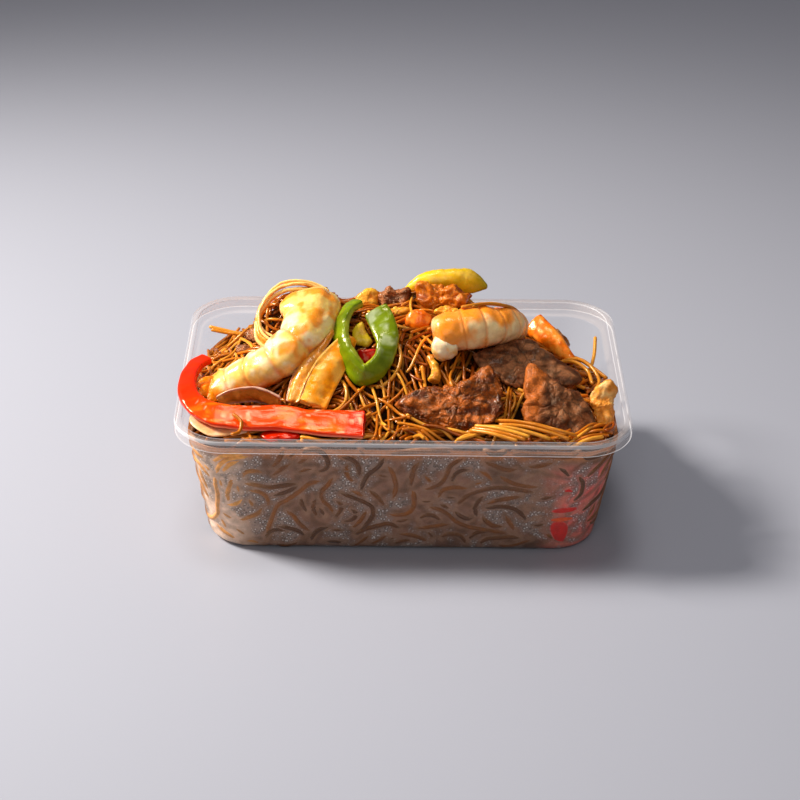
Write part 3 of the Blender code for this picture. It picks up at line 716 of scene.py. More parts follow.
def wall_curves(rng, room, seed, wander, lengths, first=()):
    """Curves in the wall's plane that keep some room apart.

    Lengths lists how many to try, and the fewest and most steps of each.
    """
    wide = int(AROUND / WALL_CELL)
    tall = int(WALL_TOP / WALL_CELL)
    taken = np.zeros((wide, tall), bool)
    flow = flow_field(seed)
    spots = disc(room, WALL_CELL)

    def take(path):
        i, j = (path / WALL_CELL).astype(int).T
        for di, dj in spots:
            taken[(i + di) % wide, np.clip(j + dj, 0, tall - 1)] = True

    curves = list(first)
    for path in first:
        take(path)
    for tries, shortest, longest in lengths:
        for _ in range(tries):
            u = rng.uniform(0, AROUND)
            v = rng.uniform(1.5, 48.0)
            way = flow[int(u), int(v)]
            heading = way + rng.choice([0.0, math.pi]) + rng.normal(0, 0.35)
            bend = rng.normal(0, wander)
            path = []
            for _ in range(longest):
                i = int(u / WALL_CELL) % wide
                j = int(v / WALL_CELL)
                if not STRAND_LOW <= v <= STRAND_HIGH or taken[i, min(j, tall - 1)]:
                    break
                path.append((u, v))
                apart = flow[int(u % AROUND), int(v)] - heading
                heading += bend + 0.10 * math.sin(apart) * math.copysign(1, math.cos(apart))
                bend = 0.85 * bend + rng.normal(0, wander * 0.6)
                u += STRAND_STEP * math.cos(heading)
                v += STRAND_STEP * math.sin(heading)
            if len(path) < shortest:
                continue
            curves.append(np.array(path))
            take(curves[-1])
    return curves


def closeness(curves, wide, tall, cell, reach):
    """Distance from each cell of the wall to the nearest curve, up to a reach."""
    near = np.full((wide, tall), 99.0)
    path = np.concatenate([np.concatenate([curve, (curve[:-1] + curve[1:]) / 2]) for curve in curves])
    i = (path[:, 0] / cell).astype(int)
    j = (path[:, 1] / cell).astype(int)
    for di, dj in disc(reach, cell):
        gap = np.hypot((i + di + 0.5) * cell - path[:, 0], (j + dj + 0.5) * cell - path[:, 1])
        inside = (j + dj >= 0) & (j + dj < tall)
        np.minimum.at(near, ((i + di)[inside] % wide, (j + dj)[inside]), gap[inside])
    return near


NOODLE_LIGHT = rgb(234, 160, 52)
NOODLE_GOLD = rgb(192, 104, 14)
NOODLE_BROWN = rgb(136, 57, 4)
NOODLE_DARK = rgb(62, 16, 1)
FOG_GREY = rgb(144, 99, 76)
FOG_DARK = rgb(92, 57, 38)
FOG_HALO = rgb(176, 132, 100)
# The peach of painted light where the key lamp falls on the wall.
FOG_PEACH = rgb(255, 218, 190)
FOG_PINK = rgb(240, 104, 92)
WALL_BROWN = rgb(82, 40, 5)
WALL_GOLD = rgb(142, 76, 12)


def left_end(u):
    """How squarely a place on the wall faces left."""
    _, normals = ring_points(u, 150.0, 98.0, 17.0)
    return ease(-normals[..., 0], 0.86, 1.0)


CORE_BASE = 0.45


def make_core(curves, deep_curves):
    """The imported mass: a misted side against the wall, and a dark top under the loose strands."""
    columns, rows, rounds = 760, 72, 30
    u = AROUND * np.arange(columns) / columns
    flat = wall_points(u, np.full(columns, 47.0))
    top = heap_height(flat[:, 0], flat[:, 1]) - 0.8 + 0.6 * field(flat, 5, 8)
    open_edge = ease(48.4 - top, 0.3, 2.5)
    top = np.minimum(48.4, top)
    grid, heights = [], []
    for k in range(rows + 1):
        z = CORE_BASE + (top - CORE_BASE) * k / rows
        grid.append(wall_points(u, z, 0.06 + 0.4 * (1 - ease(z, 2, 9))))
        heights.append(z)
    side = np.array(grid)
    heights = np.array(heights)
    cell = 0.65
    wide, tall = int(AROUND / cell), int(WALL_TOP / cell)
    near = closeness(curves, wide, tall, cell, 2.6)
    deep = closeness(deep_curves, wide, tall, cell, 2.0)
    i = (np.broadcast_to(u, heights.shape) / cell).astype(int) % wide
    j = np.clip((heights / cell).astype(int), 0, tall - 1)
    near = near[i, j]
    deep = deep[i, j]
    x = side[..., 0]
    left = left_end(u)
    lit = ease(-x, 50, 70) * (1 - 0.9 * left)
    colour = blend(FOG_GREY, FOG_DARK, patches(side, 9, 3, -0.1, 0.9) * 0.7)
    # Painted shade: the misted side darkens towards the bottom.
    colour = colour * (0.55 + 0.45 * ease(heights, 0, 16))[..., None]
    # Painted light: peach where the key lamp falls on the left part of the front; the left end, which faces
    # that lamp, gets painted shade to hold back its light.
    colour = blend(colour, FOG_PEACH, lit) * (1 - 0.45 * left)[:, None]
    colour = blend(
        colour, FOG_PINK, ease(x, 50, 66) * ease(-side[..., 1], 20, 48) * (1 - ease(heights, 36, 44)),
    )
    colour = blend(colour, rgb(88, 48, 18), (1 - ease(deep, 0.4, 1.8)) * (0.6 - 0.35 * lit))
    colour = blend(colour, FOG_HALO, (1 - ease(near, 1.0, 2.2)) * 0.28)
    warm = ease(heights, 42.5, 46) * (1 - open_edge)
    colour = blend(colour, rgb(206, 118, 50), warm * 0.75)
    # Painted shade: where the heap lies below the wall's top, the side darkens towards the dark top.
    fade = open_edge * (1 - ease(top - heights, 0.0, 5.0))
    colour = blend(colour, NOODLE_DARK, fade * 0.8)
    alpha = (1 - 0.8 * (1 - ease(near, 1.1, 1.9))) * (1 - ease(heights, 44, 47)) * (1 - fade)
    colour = np.concatenate([colour, alpha[..., None]], -1)
    loops = [side]
    colours = [colour]
    edge = side[-1]
    # The top under the loose strands: dark sauce brown with painted shade, for the deep gaps between strands.
    dark = np.array((*rgb(50, 16, 2), 0.0))
    for k in range(1, rounds):
        part = 1 - k / rounds
        x = edge[:, 0] * part
        y = edge[:, 1] * part
        z = core_top(x, y)
        loops.append(np.stack([x, y, z], -1)[None])
        colours.append(np.broadcast_to(dark, (1, columns, 4)))
    grid = np.concatenate(loops)
    tints = np.concatenate(colours)
    points = np.concatenate([grid.reshape(-1, 3), [(0, 0, CORE_BASE), (0, 0, float(core_top(0.0, 0.0)))]])
    tints = np.concatenate([tints.reshape(-1, 4), [(*FOG_DARK, 1.0), dark]])
    faces = closed_faces(len(grid), columns)
    obj = mesh_object("noodle_mass", points, faces, tints, fog_material(), "noodle", ["noodles"])
    obj.data.materials.append(MATERIALS["deep"])
    slots = np.zeros(len(faces), np.int32)
    slots[rows * columns : (len(grid) - 1) * columns] = 1
    slots[-columns:] = 1
    obj.data.polygons.foreach_set("material_index", slots)


# Height fields of what lies in the box

CELL = 0.6
GRID_X = np.arange(-84, 84.01, CELL)
GRID_Y = np.arange(-58, 58.01, CELL)


def to_cell(x, y):
    i = np.clip(((np.asarray(x) - GRID_X[0]) / CELL + 0.5).astype(int), 0, len(GRID_X) - 1)
    j = np.clip(((np.asarray(y) - GRID_Y[0]) / CELL + 0.5).astype(int), 0, len(GRID_Y) - 1)
    return i, j


def spread(heights, steps, pick, fall=0.0):
    """Carries each cell's height to its neighbours, lower by a fall at each step, where pick takes it."""
    for _ in range(steps):
        wide = heights.copy()
        wide[1:] = pick(wide[1:], heights[:-1] - fall)
        wide[:-1] = pick(wide[:-1], heights[1:] - fall)
        wide[:, 1:] = pick(wide[:, 1:], heights[:, :-1] - fall)
        wide[:, :-1] = pick(wide[:, :-1], heights[:, 1:] - fall)
        heights = wide
    return heights


def core_top(x, y):
    i, j = to_cell(x, y)
    return FIELDS["ground"][i, j]


FIELDS = {}


def softened(heights, times):
    for _ in range(times):
        shifts = [np.roll(heights, step, axis) for step in (-1, 1) for axis in (0, 1)]
        heights = (heights + sum(shifts)) / 5
    return heights


def make_fields():
    low = np.full((len(GRID_X), len(GRID_Y)), 200.0)
    high = np.full((len(GRID_X), len(GRID_Y)), -1.0)
    for points in ALL_FORMS:
        i, j = to_cell(points[:, 0], points[:, 1])
        np.minimum.at(low, (i, j), points[:, 2])
        np.maximum.at(high, (i, j), points[:, 2])
    x, y = np.meshgrid(GRID_X, GRID_Y, indexing="ij")
    heap = heap_height(x, y)
    under = np.where(low < 190, np.minimum(low - 1.2, heap + 12), 0)
    mound = softened(spread(np.maximum(heap, under), 20, np.maximum, CELL), 12)
    heap = heap + np.maximum(mound - heap, 0) * ease(y, 7, 15) * (1 - ease(x, 20, 28))
    ground = np.minimum(heap - 4.5, spread(low, 4, np.minimum) - 1.6)
    hollow = ((x - HOLLOW[0]) / HOLLOW[2]) ** 2 + ((y - HOLLOW[1]) / HOLLOW[3]) ** 2
    ground = ground - 9 * (1 - ease(hollow, 0.7, 1.6))
    ground = np.maximum(softened(ground, 3), 20.0)
    FIELDS.update(low=low, high=high, heap=heap, ground=ground, pile=ground.copy())


PATCH = [(di, dj) for di in range(-2, 3) for dj in range(-2, 3)]


def cells_under(path, radius):
    """Cells that a strand covers, each with the strand's half thickness over it."""
    i, j = to_cell(path[:, 0], path[:, 1])
    for di, dj in PATCH:
        gap = math.hypot(di, dj) * CELL
        if gap <= radius:
            place = np.clip(i + di, 0, len(GRID_X) - 1), np.clip(j + dj, 0, len(GRID_Y) - 1)
            yield place, math.sqrt(max(0.0, radius**2 - gap**2))


def settle_heights(path, radius, smooth=3.0):
    """Heights of a strand that lies on the pile below it."""
    heights = np.zeros(len(path))
    for place, half in cells_under(path, radius):
        heights = np.maximum(heights, FIELDS["pile"][place] + half * 0.9)
    padded = np.pad(heights, 1, mode="edge")
    heights = np.maximum(np.maximum(padded[:-2], padded[2:]), heights)
    reach = 4
    weights = np.exp(-0.5 * (np.arange(-reach, reach + 1) * 1.5 / smooth) ** 2)
    weights /= weights.sum()
    return np.convolve(np.pad(heights, reach, mode="edge"), weights, mode="valid")


def lay(path, radius):
    """Adds a strand to the pile."""
    third = (path[1:] - path[:-1]) / 3
    fine = np.concatenate([path, path[:-1] + third, path[:-1] + 2 * third])
    for place, half in cells_under(fine, radius):
        np.maximum.at(FIELDS["pile"], place, fine[:, 2] + half)


def inside_wall(x, y, inset):
    half_x = 80.6 - inset
    half_y = 54.6 - inset
    radius = 15.0 - inset
    gap_x = np.maximum(np.abs(x) - half_x + radius, 0)
    gap_y = np.maximum(np.abs(y) - half_y + radius, 0)
    return np.hypot(gap_x, gap_y) < radius


def keep_inside(path, z, room):
    """Moves points in from the sloping walls."""
    length, width, _ = inner_size(z)
    x = np.clip(path[:, 0], room - length / 2, length / 2 - room)
    y = np.clip(path[:, 1], room - width / 2, width / 2 - room)
    return np.stack([x, y], -1)


HOLLOW = (45.5, -39.5, 4.2, 8.5)


def in_hollow(path):
    """Whether points lie in the dark gap between the two front slices of beef."""
    x, y, half_x, half_y = HOLLOW
    return ((path[:, 0] - x) / half_x) ** 2 + ((path[:, 1] - y) / half_y) ** 2 < 1


def heap_flow(seed):
    """The way that strands lie at each cell of the heap, in swirls."""
    x, y = np.meshgrid(GRID_X, GRID_Y, indexing="ij")
    place = np.stack([x, y, x * 0], -1)
    return 2.6 * field(place, 34, seed) + 1.5 * field(place, 15, seed + 1)


def flowing_path(rng, flow, start, steps, step, loose):
    x, y = start
    i, j = to_cell(x, y)
    heading = flow[i, j] + rng.choice([0.0, math.pi]) + rng.normal(0, loose)
    bend = rng.normal(0, 0.05)
    path = []
    for _ in range(steps):
        path.append((x, y))
        i, j = to_cell(x, y)
        apart = flow[i, j] - heading
        heading += bend * step + 0.07 * math.sin(apart) * math.copysign(1, math.cos(apart))
        bend = 0.9 * bend + rng.normal(0, 0.025)
        x += step * math.cos(heading)
        y += step * math.sin(heading)
    return np.array(path)


BUNDLE_SPACE = 1.4


def top_strands(rng, count, over, lift, seed, shortest):
    """Strands rained on the pile, each lying on what is there.

    Over is how far they may rise above the heap, and lift the share of them that arch.
    """
    flow = heap_flow(seed)
    paths, radii = [], []
    tries = 0
    while len(paths) < count and tries < count * 10:
        tries += 1
        best = None
        for _ in range(4):
            x = rng.uniform(-80, 80)
            y = rng.uniform(-54, 54)
            i, j = to_cell(x, y)
            lack = FIELDS["heap"][i, j] - FIELDS["pile"][i, j]
            if best is None or lack > best[0]:
                best = (lack, x, y)
        steps = int(rng.uniform(18, 44))
        line = flowing_path(rng, flow, best[1:], steps, 1.5, 0.5)
        away = np.gradient(line, axis=0)
        away = np.stack([-away[:, 1], away[:, 0]], -1) / 1.5
        bundle = 1 + (rng.random() < 0.55) + (rng.random() < 0.35) + (rng.random() < 0.2)
        for k in range(bundle):
            radius = rng.uniform(0.54, 0.76)
            wide = BUNDLE_SPACE * k + np.cumsum(rng.normal(0, 0.07, len(line)))
            path = line + away * wide[:, None]
            fits = inside_wall(path[:, 0], path[:, 1], 1.2)
            stop = len(path) if fits.all() else int(np.argmin(fits))
            if stop < shortest or in_hollow(path[:stop]).any():
                continue
            path = path[:stop]
            z = settle_heights(path, radius)
            if rng.random() < lift:
                rise = rng.uniform(0.6, 2.8)
                z = z + rise * np.sin(np.linspace(0, math.pi * rng.uniform(0.5, 1.0), len(z)))
            path = keep_inside(path, z, radius + 0.15)
            i, j = to_cell(path[:, 0], path[:, 1])
            blocked = (z + radius > FIELDS["low"][i, j]) & (z - radius < FIELDS["high"][i, j])
            bad = blocked | (z > FIELDS["heap"][i, j] + over + 1.6)
            bad |= wall_gap(np.concatenate([path, z[:, None]], -1)) < radius
            stop = len(path) if not bad.any() else int(np.argmax(bad))
            if stop < shortest or (z[:stop] - FIELDS["heap"][i, j][:stop]).mean() > over:
                continue
            path = np.concatenate([path, z[:, None]], -1)[:stop]
            lay(path, radius)
            paths.append(path)
            radii.append(radius)
    return paths, radii


# Toppings

# Mottle and its size, grain and its size, relief, least and most roughness, coat and glow.
MATERIALS = {
    "prawn": food_material("prawn_flesh", 0.08, 3.0, 0.06, 0.9, 0.25, (0.16, 0.34), 0.12, 0.2),
    "prawn_shell": food_material("prawn_tail", 0.14, 2.0, 0.10, 0.7, 0.2, (0.16, 0.32), 0.15),
    "red_pepper": food_material(
        "red_pepper_skin", 0.08, 4.0, 0.05, 0.8, 0.12, (0.12, 0.26), 0.06, gloss=(1.0, 0.5, 0.28, 1.0),
    ),
    "green_pepper": food_material("green_pepper_skin", 0.14, 4.0, 0.08, 0.8, 0.15, (0.12, 0.28), 0.25),
    "onion": food_material("glazed_onion", 0.12, 3.0, 0.08, 0.7, 0.25, (0.16, 0.34), 0.15, 0.15),
    "spring_onion": food_material("spring_onion", 0.08, 3.0, 0.06, 0.7, 0.2, (0.2, 0.36), 0.1, 0.1),
    "beef": food_material("sliced_beef", 0.26, 2.6, 0.35, 0.6, 0.9, (0.3, 0.55), 0.05, height=0.5),
    "roast": food_material("roasted_beef", 0.32, 2.0, 0.35, 0.7, 1.0, (0.18, 0.42), 0.12, height=0.6),
    "chicken": food_material("glazed_chicken", 0.22, 2.4, 0.18, 0.8, 0.6, (0.16, 0.36), 0.15, 0.1),
    "egg": food_material("fried_egg", 0.18, 2.4, 0.15, 0.8, 0.5, (0.22, 0.42), 0.1, 0.1),
    "noodle": food_material("noodle_strands", 0.16, 5.0, 0.10, 0.9, 0.15, (0.14, 0.28), 0.08, 0.12),
    # Dark sauce brown with painted shade, for the deep gaps under the strands.
    "deep": food_material("sauce_in_painted_shade", 0.3, 3.0, 0.3, 0.9, 0.6, (0.75, 0.95), 0.0),
    "wall_noodle": food_material("pressed_strands", 0.22, 3.0, 0.15, 0.9, 0.1, (0.45, 0.65), 0.0),
}

CREAM = rgb(255, 200, 100)
PRAWN_WHITE = rgb(255, 228, 178)
GLAZE = rgb(254, 142, 2)
# A deeper glaze orange, also laid on as painted shade.
GLAZE_IN_SHADE = rgb(228, 92, 0)
TAIL_ORANGE = rgb(244, 112, 6)


def swept_piece(name, rows, how, look, relief, slot, replaced=None, facing=TOWARDS_CAMERA):
    """A piece swept along rows. How names the rings, sides and cap, and the squareness or folds."""
    nodes = [replaced] if replaced else None
    body(name, *sweep_grid(rows, facing, **how), look, MATERIALS[slot], slot, relief, nodes)


def chunk_piece(replaced, shape, look, relief, slot, material=None):
    """A chunk. Shape is what chunk_grid takes, from the centre on."""
    material = MATERIALS[material or slot]
    body(replaced + "_piece", *chunk_grid(*shape), look, material, slot, relief, [replaced])


def prawn_left_look(p, n, t, a):
    mess = fractal(p, 6, 21)
    colour = blend(CREAM, PRAWN_WHITE, ease(mess, -0.3, 0.4) * (1 - ease(t, 0.62, 0.9)))
    drip = fractal(p * np.array((1.0, 1.0, 0.6)), 5.5, 5)
    glaze = ease(drip + 0.5 * ease(t, 0.55, 0.9) + 0.35 * (1 - n[..., 2]), 0.25, 0.75)
    colour = blend(colour, GLAZE, glaze * 0.85)
    # Painted shade: deeper orange on the sides and underside.
    colour = blend(colour, GLAZE_IN_SHADE, ease(-n[..., 2], -0.2, 0.6) * 0.6)
    streak = ease(fractal(np.stack([t * 30, a * 60, t * 0], -1), 3, 25), 0.0, 0.6) * ease(t, 0.55, 0.7)
    colour = blend(colour, rgb(255, 216, 130), streak * 0.6)
    # Creases deeper orange: glaze gathered in them, with painted shade.
    crease = creases(t, a, PRAWN_FOLDS, 0.010)
    colour = blend(colour, GLAZE_IN_SHADE, crease * 0.5)
    return blend(colour, TAIL_ORANGE, (1 - ease(t, 0.02, 0.12)) * 0.7)


PRAWN_FOLDS = (0.15, 0.28, 0.43, 0.60)


def creases(t, a, places, width):
    """Narrow lines across a body at given places along it."""
    total = np.zeros(t.shape)
    wave = 0.018 * np.sin(math.tau * a + 1.0)
    for place in places:
        total = np.maximum(total, np.exp(-(((t + wave - place) / width) ** 2)))
    return total


def prawn_left_relief(p, n, t, a):
    folds = -0.55 * creases(t, a, PRAWN_FOLDS, 0.016)
    ribs = 0.4 * fractal(np.stack([t * 26, a * 60, t * 0], -1), 4, 26, 2) * ease(t, 0.5, 0.7)
    ragged = 0.9 * ease(fractal(p, 3.2, 27, 2), 0.1, 0.9) * ease(-n[..., 2], 0.0, 0.8)
    ragged = ragged * (1 - ease(t, 0.5, 0.7))
    return folds + ribs + ragged + 0.5 * fractal(p, 8, 8, 2) + 0.15 * fractal(p, 2.6, 9, 1)


RIGHT_FOLDS = (0.24, 0.41, 0.57, 0.71, 0.85)


def prawn_right_look(p, n, t, a):
    colour = blend(rgb(255, 220, 160), rgb(255, 196, 118), ease(t, 0.55, 0.95) * 0.8)
    drip = fractal(p * np.array((0.8, 1.0, 0.5)), 5, 33)
    glaze = ease(0.95 - 2.0 * t + 0.6 * n[..., 2] + 0.9 * drip, 0.0, 0.8)
    colour = blend(colour, GLAZE, glaze * 0.85)
    colour = blend(colour, GLAZE, ease(n[..., 2] + 0.5 * drip, 0.35, 0.95) * 0.75)
    within = np.interp(t, (0.0, *RIGHT_FOLDS, 1.0), np.arange(len(RIGHT_FOLDS) + 2)) % 1.0
    colour = blend(colour, rgb(240, 160, 84), ease(within, 0.3, 1.0) * 0.35)
    # Painted shade: deeper orange on the sides and underside.
    colour = blend(colour, GLAZE_IN_SHADE, ease(-n[..., 2], 0.0, 0.9) * 0.45)
    line = creases(t, a, RIGHT_FOLDS, 0.006)
    return blend(colour, rgb(236, 120, 24), line * 0.4)


def prawn_right_relief(p, n, t, a):
    folds = -0.28 * creases(t, a, RIGHT_FOLDS, 0.009)
    return folds + 0.55 * fractal(p, 6, 31, 2) + 0.1 * fractal(p, 2.4, 32, 1)


def tail_look(p, n, t, a):
    colour = blend(TAIL_ORANGE, rgb(250, 166, 60), patches(p, 3, 41, -0.1, 0.8) * 0.7)
    return blend(colour, rgb(176, 54, 4), patches(p, 2, 43, 0.2, 0.9) * 0.5)


def fan_look(p, n, t, a):
    colour = blend(CREAM, GLAZE, ease(t, 0.0, 0.5))
    rim = ease(np.abs(np.cos(math.tau * a)), 0.85, 1.0)
    return blend(colour, TAIL_ORANGE, np.maximum(ease(t, 0.45, 0.95), rim))


def lumps(depth, size, seed, fine=0.3):
    return lambda p, n, t, a: depth * fractal(p, size, seed) + depth * fine * fractal(p, size / 4, seed + 3)


def two_tone(first, second, size, seed, low=-0.4, high=0.6):
    return lambda p, n, t, a: blend(first, second, patches(p, size, seed, low, high))


def make_prawns():
    rows = [
        (-76.0, -24.0, 54.8, 4.6, 1.6, 10),
        (-71.0, -22.6, 56.4, 5.6, 3.4, 10),
        (-62.5, -21.2, 60.0, 6.8, 6.0, 10),
        (-51.0, -20.2, 65.0, 8.0, 7.2, 5),
        (-42.0, -14.2, 70.6, 8.6, 7.4, 0),
        (-36.4, -4.5, 75.0, 10.4, 7.2, 0),
        (-36.0, 4.5, 77.0, 11.8, 6.8, 0),
        (-37.0, 11.4, 76.0, 10.4, 5.8, 0),
    ]
    how = dict(rings=150, sides=80, cap=3.0, folds=(5, 0.05))
    swept_piece("prawn_left_body", rows, how, prawn_left_look, prawn_left_relief, "prawn", "prawn_left", UP)
    rows = [
        (11.6, -14.5, 74.2, 7.0, 6.6, 0),
        (18.0, -12.8, 76.0, 8.0, 7.6, 0),
        (28.0, -10.0, 76.4, 8.2, 7.8, 0),
        (36.5, -5.5, 75.0, 7.8, 7.0, 0),
        (42.0, 1.5, 71.6, 6.6, 6.0, 0),
        (44.0, 8.0, 67.6, 4.6, 4.2, 0),
    ]
    how = dict(rings=120, sides=72, cap=3.0, folds=(5, 0.03))
    swept_piece(
        "prawn_right_body", rows, how, prawn_right_look, prawn_right_relief, "prawn", "prawn_right", UP,
    )
    ball = [
        (11.2, -17.0, 71.0, 4.0, 3.8, 0), (14.2, -17.6, 71.8, 5.4, 5.2, 0),
        (20.0, -16.0, 73.0, 4.6, 4.2, 0),
    ]
    how = dict(rings=30, sides=36, cap=1.6)
    white = two_tone(rgb(255, 226, 180), rgb(255, 196, 110), 3, 46)
    swept_piece("prawn_right_flesh", ball, how, white, lumps(0.4, 3, 47), "prawn", facing=UP)
    frill = [
        (14.6, -11.0, 81.6, 0.9, 0.5, 0), (17.4, -10.6, 82.8, 2.0, 0.7, 0), (21.0, -9.6, 83.0, 1.1, 0.6, 0),
    ]
    how = dict(rings=30, sides=30, cap=0.8)
    golden = two_tone(rgb(254, 186, 60), rgb(250, 140, 14), 2, 47)
    swept_piece("prawn_right_frill", frill, how, golden, lumps(0.5, 2.2, 48), "prawn")
    leaves = [
        [(-70.0, -22.0, 57.6), (-75.0, -23.0, 58.4), (-78.6, -24.6, 57.4)],
        [(-70.0, -23.4, 56.0), (-74.6, -25.6, 56.4), (-78.4, -28.4, 55.0)],
        [(-69.0, -24.8, 55.4), (-72.0, -28.0, 55.2), (-74.6, -31.0, 53.8)],
    ]
    for number, leaf in enumerate(leaves):
        rows = [(*point, wide, 0.7, 0) for point, wide in zip(leaf, (2.0, 2.4, 0.5))]
        how = dict(rings=24, sides=28, cap=0.5)
        name = f"prawn_left_fan_{number + 1}"
        swept_piece(name, rows, how, fan_look, lumps(0.25, 2.5, 49 + number), "prawn_shell")
    rows = [(0.5, -0.5, 73.6, 2.0, 1.2, 0), (5.0, -0.6, 74.6, 4.2, 2.2, 0), (10.2, -1.0, 73.2, 2.6, 1.8, 0)]
    how = dict(rings=30, sides=30, cap=1.0)
    relief = lumps(0.3, 4, 44)
    swept_piece("tail_left_shell", rows, how, tail_look, relief, "prawn_shell", "prawn_tail_left")
    rows = [
        (50.6, 16.0, 65.4, 5.2, 1.8, 0),
        (55.2, 10.8, 63.8, 4.4, 2.4, 0),
        (61.0, 4.0, 60.8, 3.4, 2.2, 0),
        (66.6, -2.6, 57.4, 1.6, 1.4, 0),
    ]
    how = dict(rings=44, sides=30, cap=1.2)
    relief = lumps(0.25, 4, 45, 0.2)
    swept_piece("tail_right_shell", rows, how, tail_look, relief, "prawn_shell", "prawn_tail_right")


GREEN = rgb(116, 134, 4)
GREEN_DARK = rgb(66, 84, 2)
GREEN_PALE = rgb(186, 184, 46)
RED_SKIN = rgb(232, 40, 0)
RED_DARK = rgb(176, 10, 0)
FLESH = rgb(236, 66, 0)
FLESH_LIGHT = rgb(246, 112, 8)


def green_look(p, n, t, a):
    colour = blend(GREEN, GREEN_DARK, patches(p, 8, 51, -0.3, 0.8) * 0.7)
    inner = ease(-np.sin(math.tau * a), 0.2, 0.9)
    colour = blend(colour, GREEN_PALE, inner * 0.3)
    edge = ease(np.abs(np.cos(math.tau * a)), 0.93, 1.0)
    colour = blend(colour, GREEN_PALE, edge * 0.6)
    sheen = ease(t, 0.66, 0.8) * ease(np.sin(math.tau * a), 0.3, 0.9) * patches(p, 3.5, 53, 0.0, 0.5)
    return blend(colour, rgb(214, 220, 176), sheen * 0.5)


def red_long_look(p, n, t, a):
    face = np.sin(math.tau * a)
    side = np.cos(math.tau * a)
    skin = blend(RED_SKIN, RED_DARK, patches(p, 9, 61, 0.0, 1.0) * 0.35)
    streak = fractal(p * np.array((0.25, 1.6, 1.6)), 2.2, 63)
    flesh = blend(FLESH, FLESH_LIGHT, ease(streak, -0.1, 0.7) * 0.8)
    inner = ease(face, 0.15, 0.45) * ease(t, 0.30, 0.42) * (1 - ease(t, 0.955, 0.975))
    colour = blend(skin, flesh, inner)
    rim = ease(np.abs(side), 0.80, 0.93) * ease(t, 0.25, 0.4)
    colour = blend(colour, RED_SKIN, rim * 0.8)
    colour = blend(colour, RED_SKIN, ease(t + 0.012 * np.cos(math.tau * a), 0.90, 0.93))
    colour = blend(colour, RED_DARK, ease(t, 0.965, 0.98))
    gleam = fractal(p * np.array((0.5, 2.0, 2.0)), 1.6, 68, 2)
    colour = blend(colour, rgb(254, 196, 150), ease(gleam, 0.62, 0.95) * inner * 0.7)
    # Painted highlight: a pale line along the lower edge.
    edge_highlight = ease(np.abs(side), 0.95, 0.99) * ease(-face, -0.1, 0.2) * ease(t, 0.35, 0.5)
    return blend(colour, rgb(255, 190, 150), edge_highlight * 0.7)


def red_long_relief(p, n, t, a):
    face = ease(np.sin(math.tau * a), 0.2, 0.8)
    dish = -0.6 * face * (1 - np.cos(math.tau * a) ** 2) * ease(t, 0.3, 0.45)
    ribs = 0.22 * fractal(p * np.array((0.35, 1.3, 1.3)), 2.6, 66) * ease(t, 0.25, 0.4)
    return dish + ribs + 0.3 * fractal(p, 7, 67, 2)


def corner_marks(p):
    """Where the pepper in the front corner touches the wall: a drop, a slit and a band."""
    x, z = p[..., 0], p[..., 2]
    drop_width = 1.1 + 0.29 * np.clip(z - 2.0, 0, 12)
    drop = ((x - 60.0 + 0.10 * (z - 10)) / drop_width) ** 2 + ((z - 9.0) / 6.4) ** 2
    slit = ((x - 61.5) / 5.0) ** 2 + ((z - 20.4 - 0.12 * (x - 61)) / 1.3) ** 2
    band = ((x - 60.6) / 4.4) ** 2 + ((z - 15.9 - 0.08 * (x - 60)) / 1.0) ** 2
    top = ((x - 61.0) / 5.4) ** 2 + ((z - 30.2) / 1.2) ** 2
    return 1 - ease(np.minimum(np.minimum(drop, slit), np.minimum(band, top)), 0.75, 1.15)


def corner_look(p, n, t, a):
    haze = blend(FOG_PINK, rgb(166, 74, 72), patches(p, 7, 75, -0.4, 0.7) * 0.6)
    red = blend(rgb(216, 8, 0), rgb(236, 84, 16), ease(-np.abs(p[..., 2] - 15.9), -1.6, -0.4))
    marks = corner_marks(p)
    return np.concatenate([blend(haze, red, marks), (1 - marks)[..., None]], -1)


def corner_press(p, n, t, a):
    """Lifts the marks to the wall and lays the rest just behind the mist."""
    flat = wall_gap(p)
    towards = ease(-n[..., 1], 0.2, 0.7)
    return towards * (flat - 0.25 + 0.55 * corner_marks(p))


def wall_gap(p):
    """Distance from a place to the inside of the wall, outwards."""
    length, width, radius = inner_size(p[..., 2])
    gap_x = np.maximum(np.abs(p[..., 0]) - length / 2 + radius, 0)
    gap_y = np.maximum(np.abs(p[..., 1]) - width / 2 + radius, 0)
    return radius - np.hypot(gap_x, gap_y)


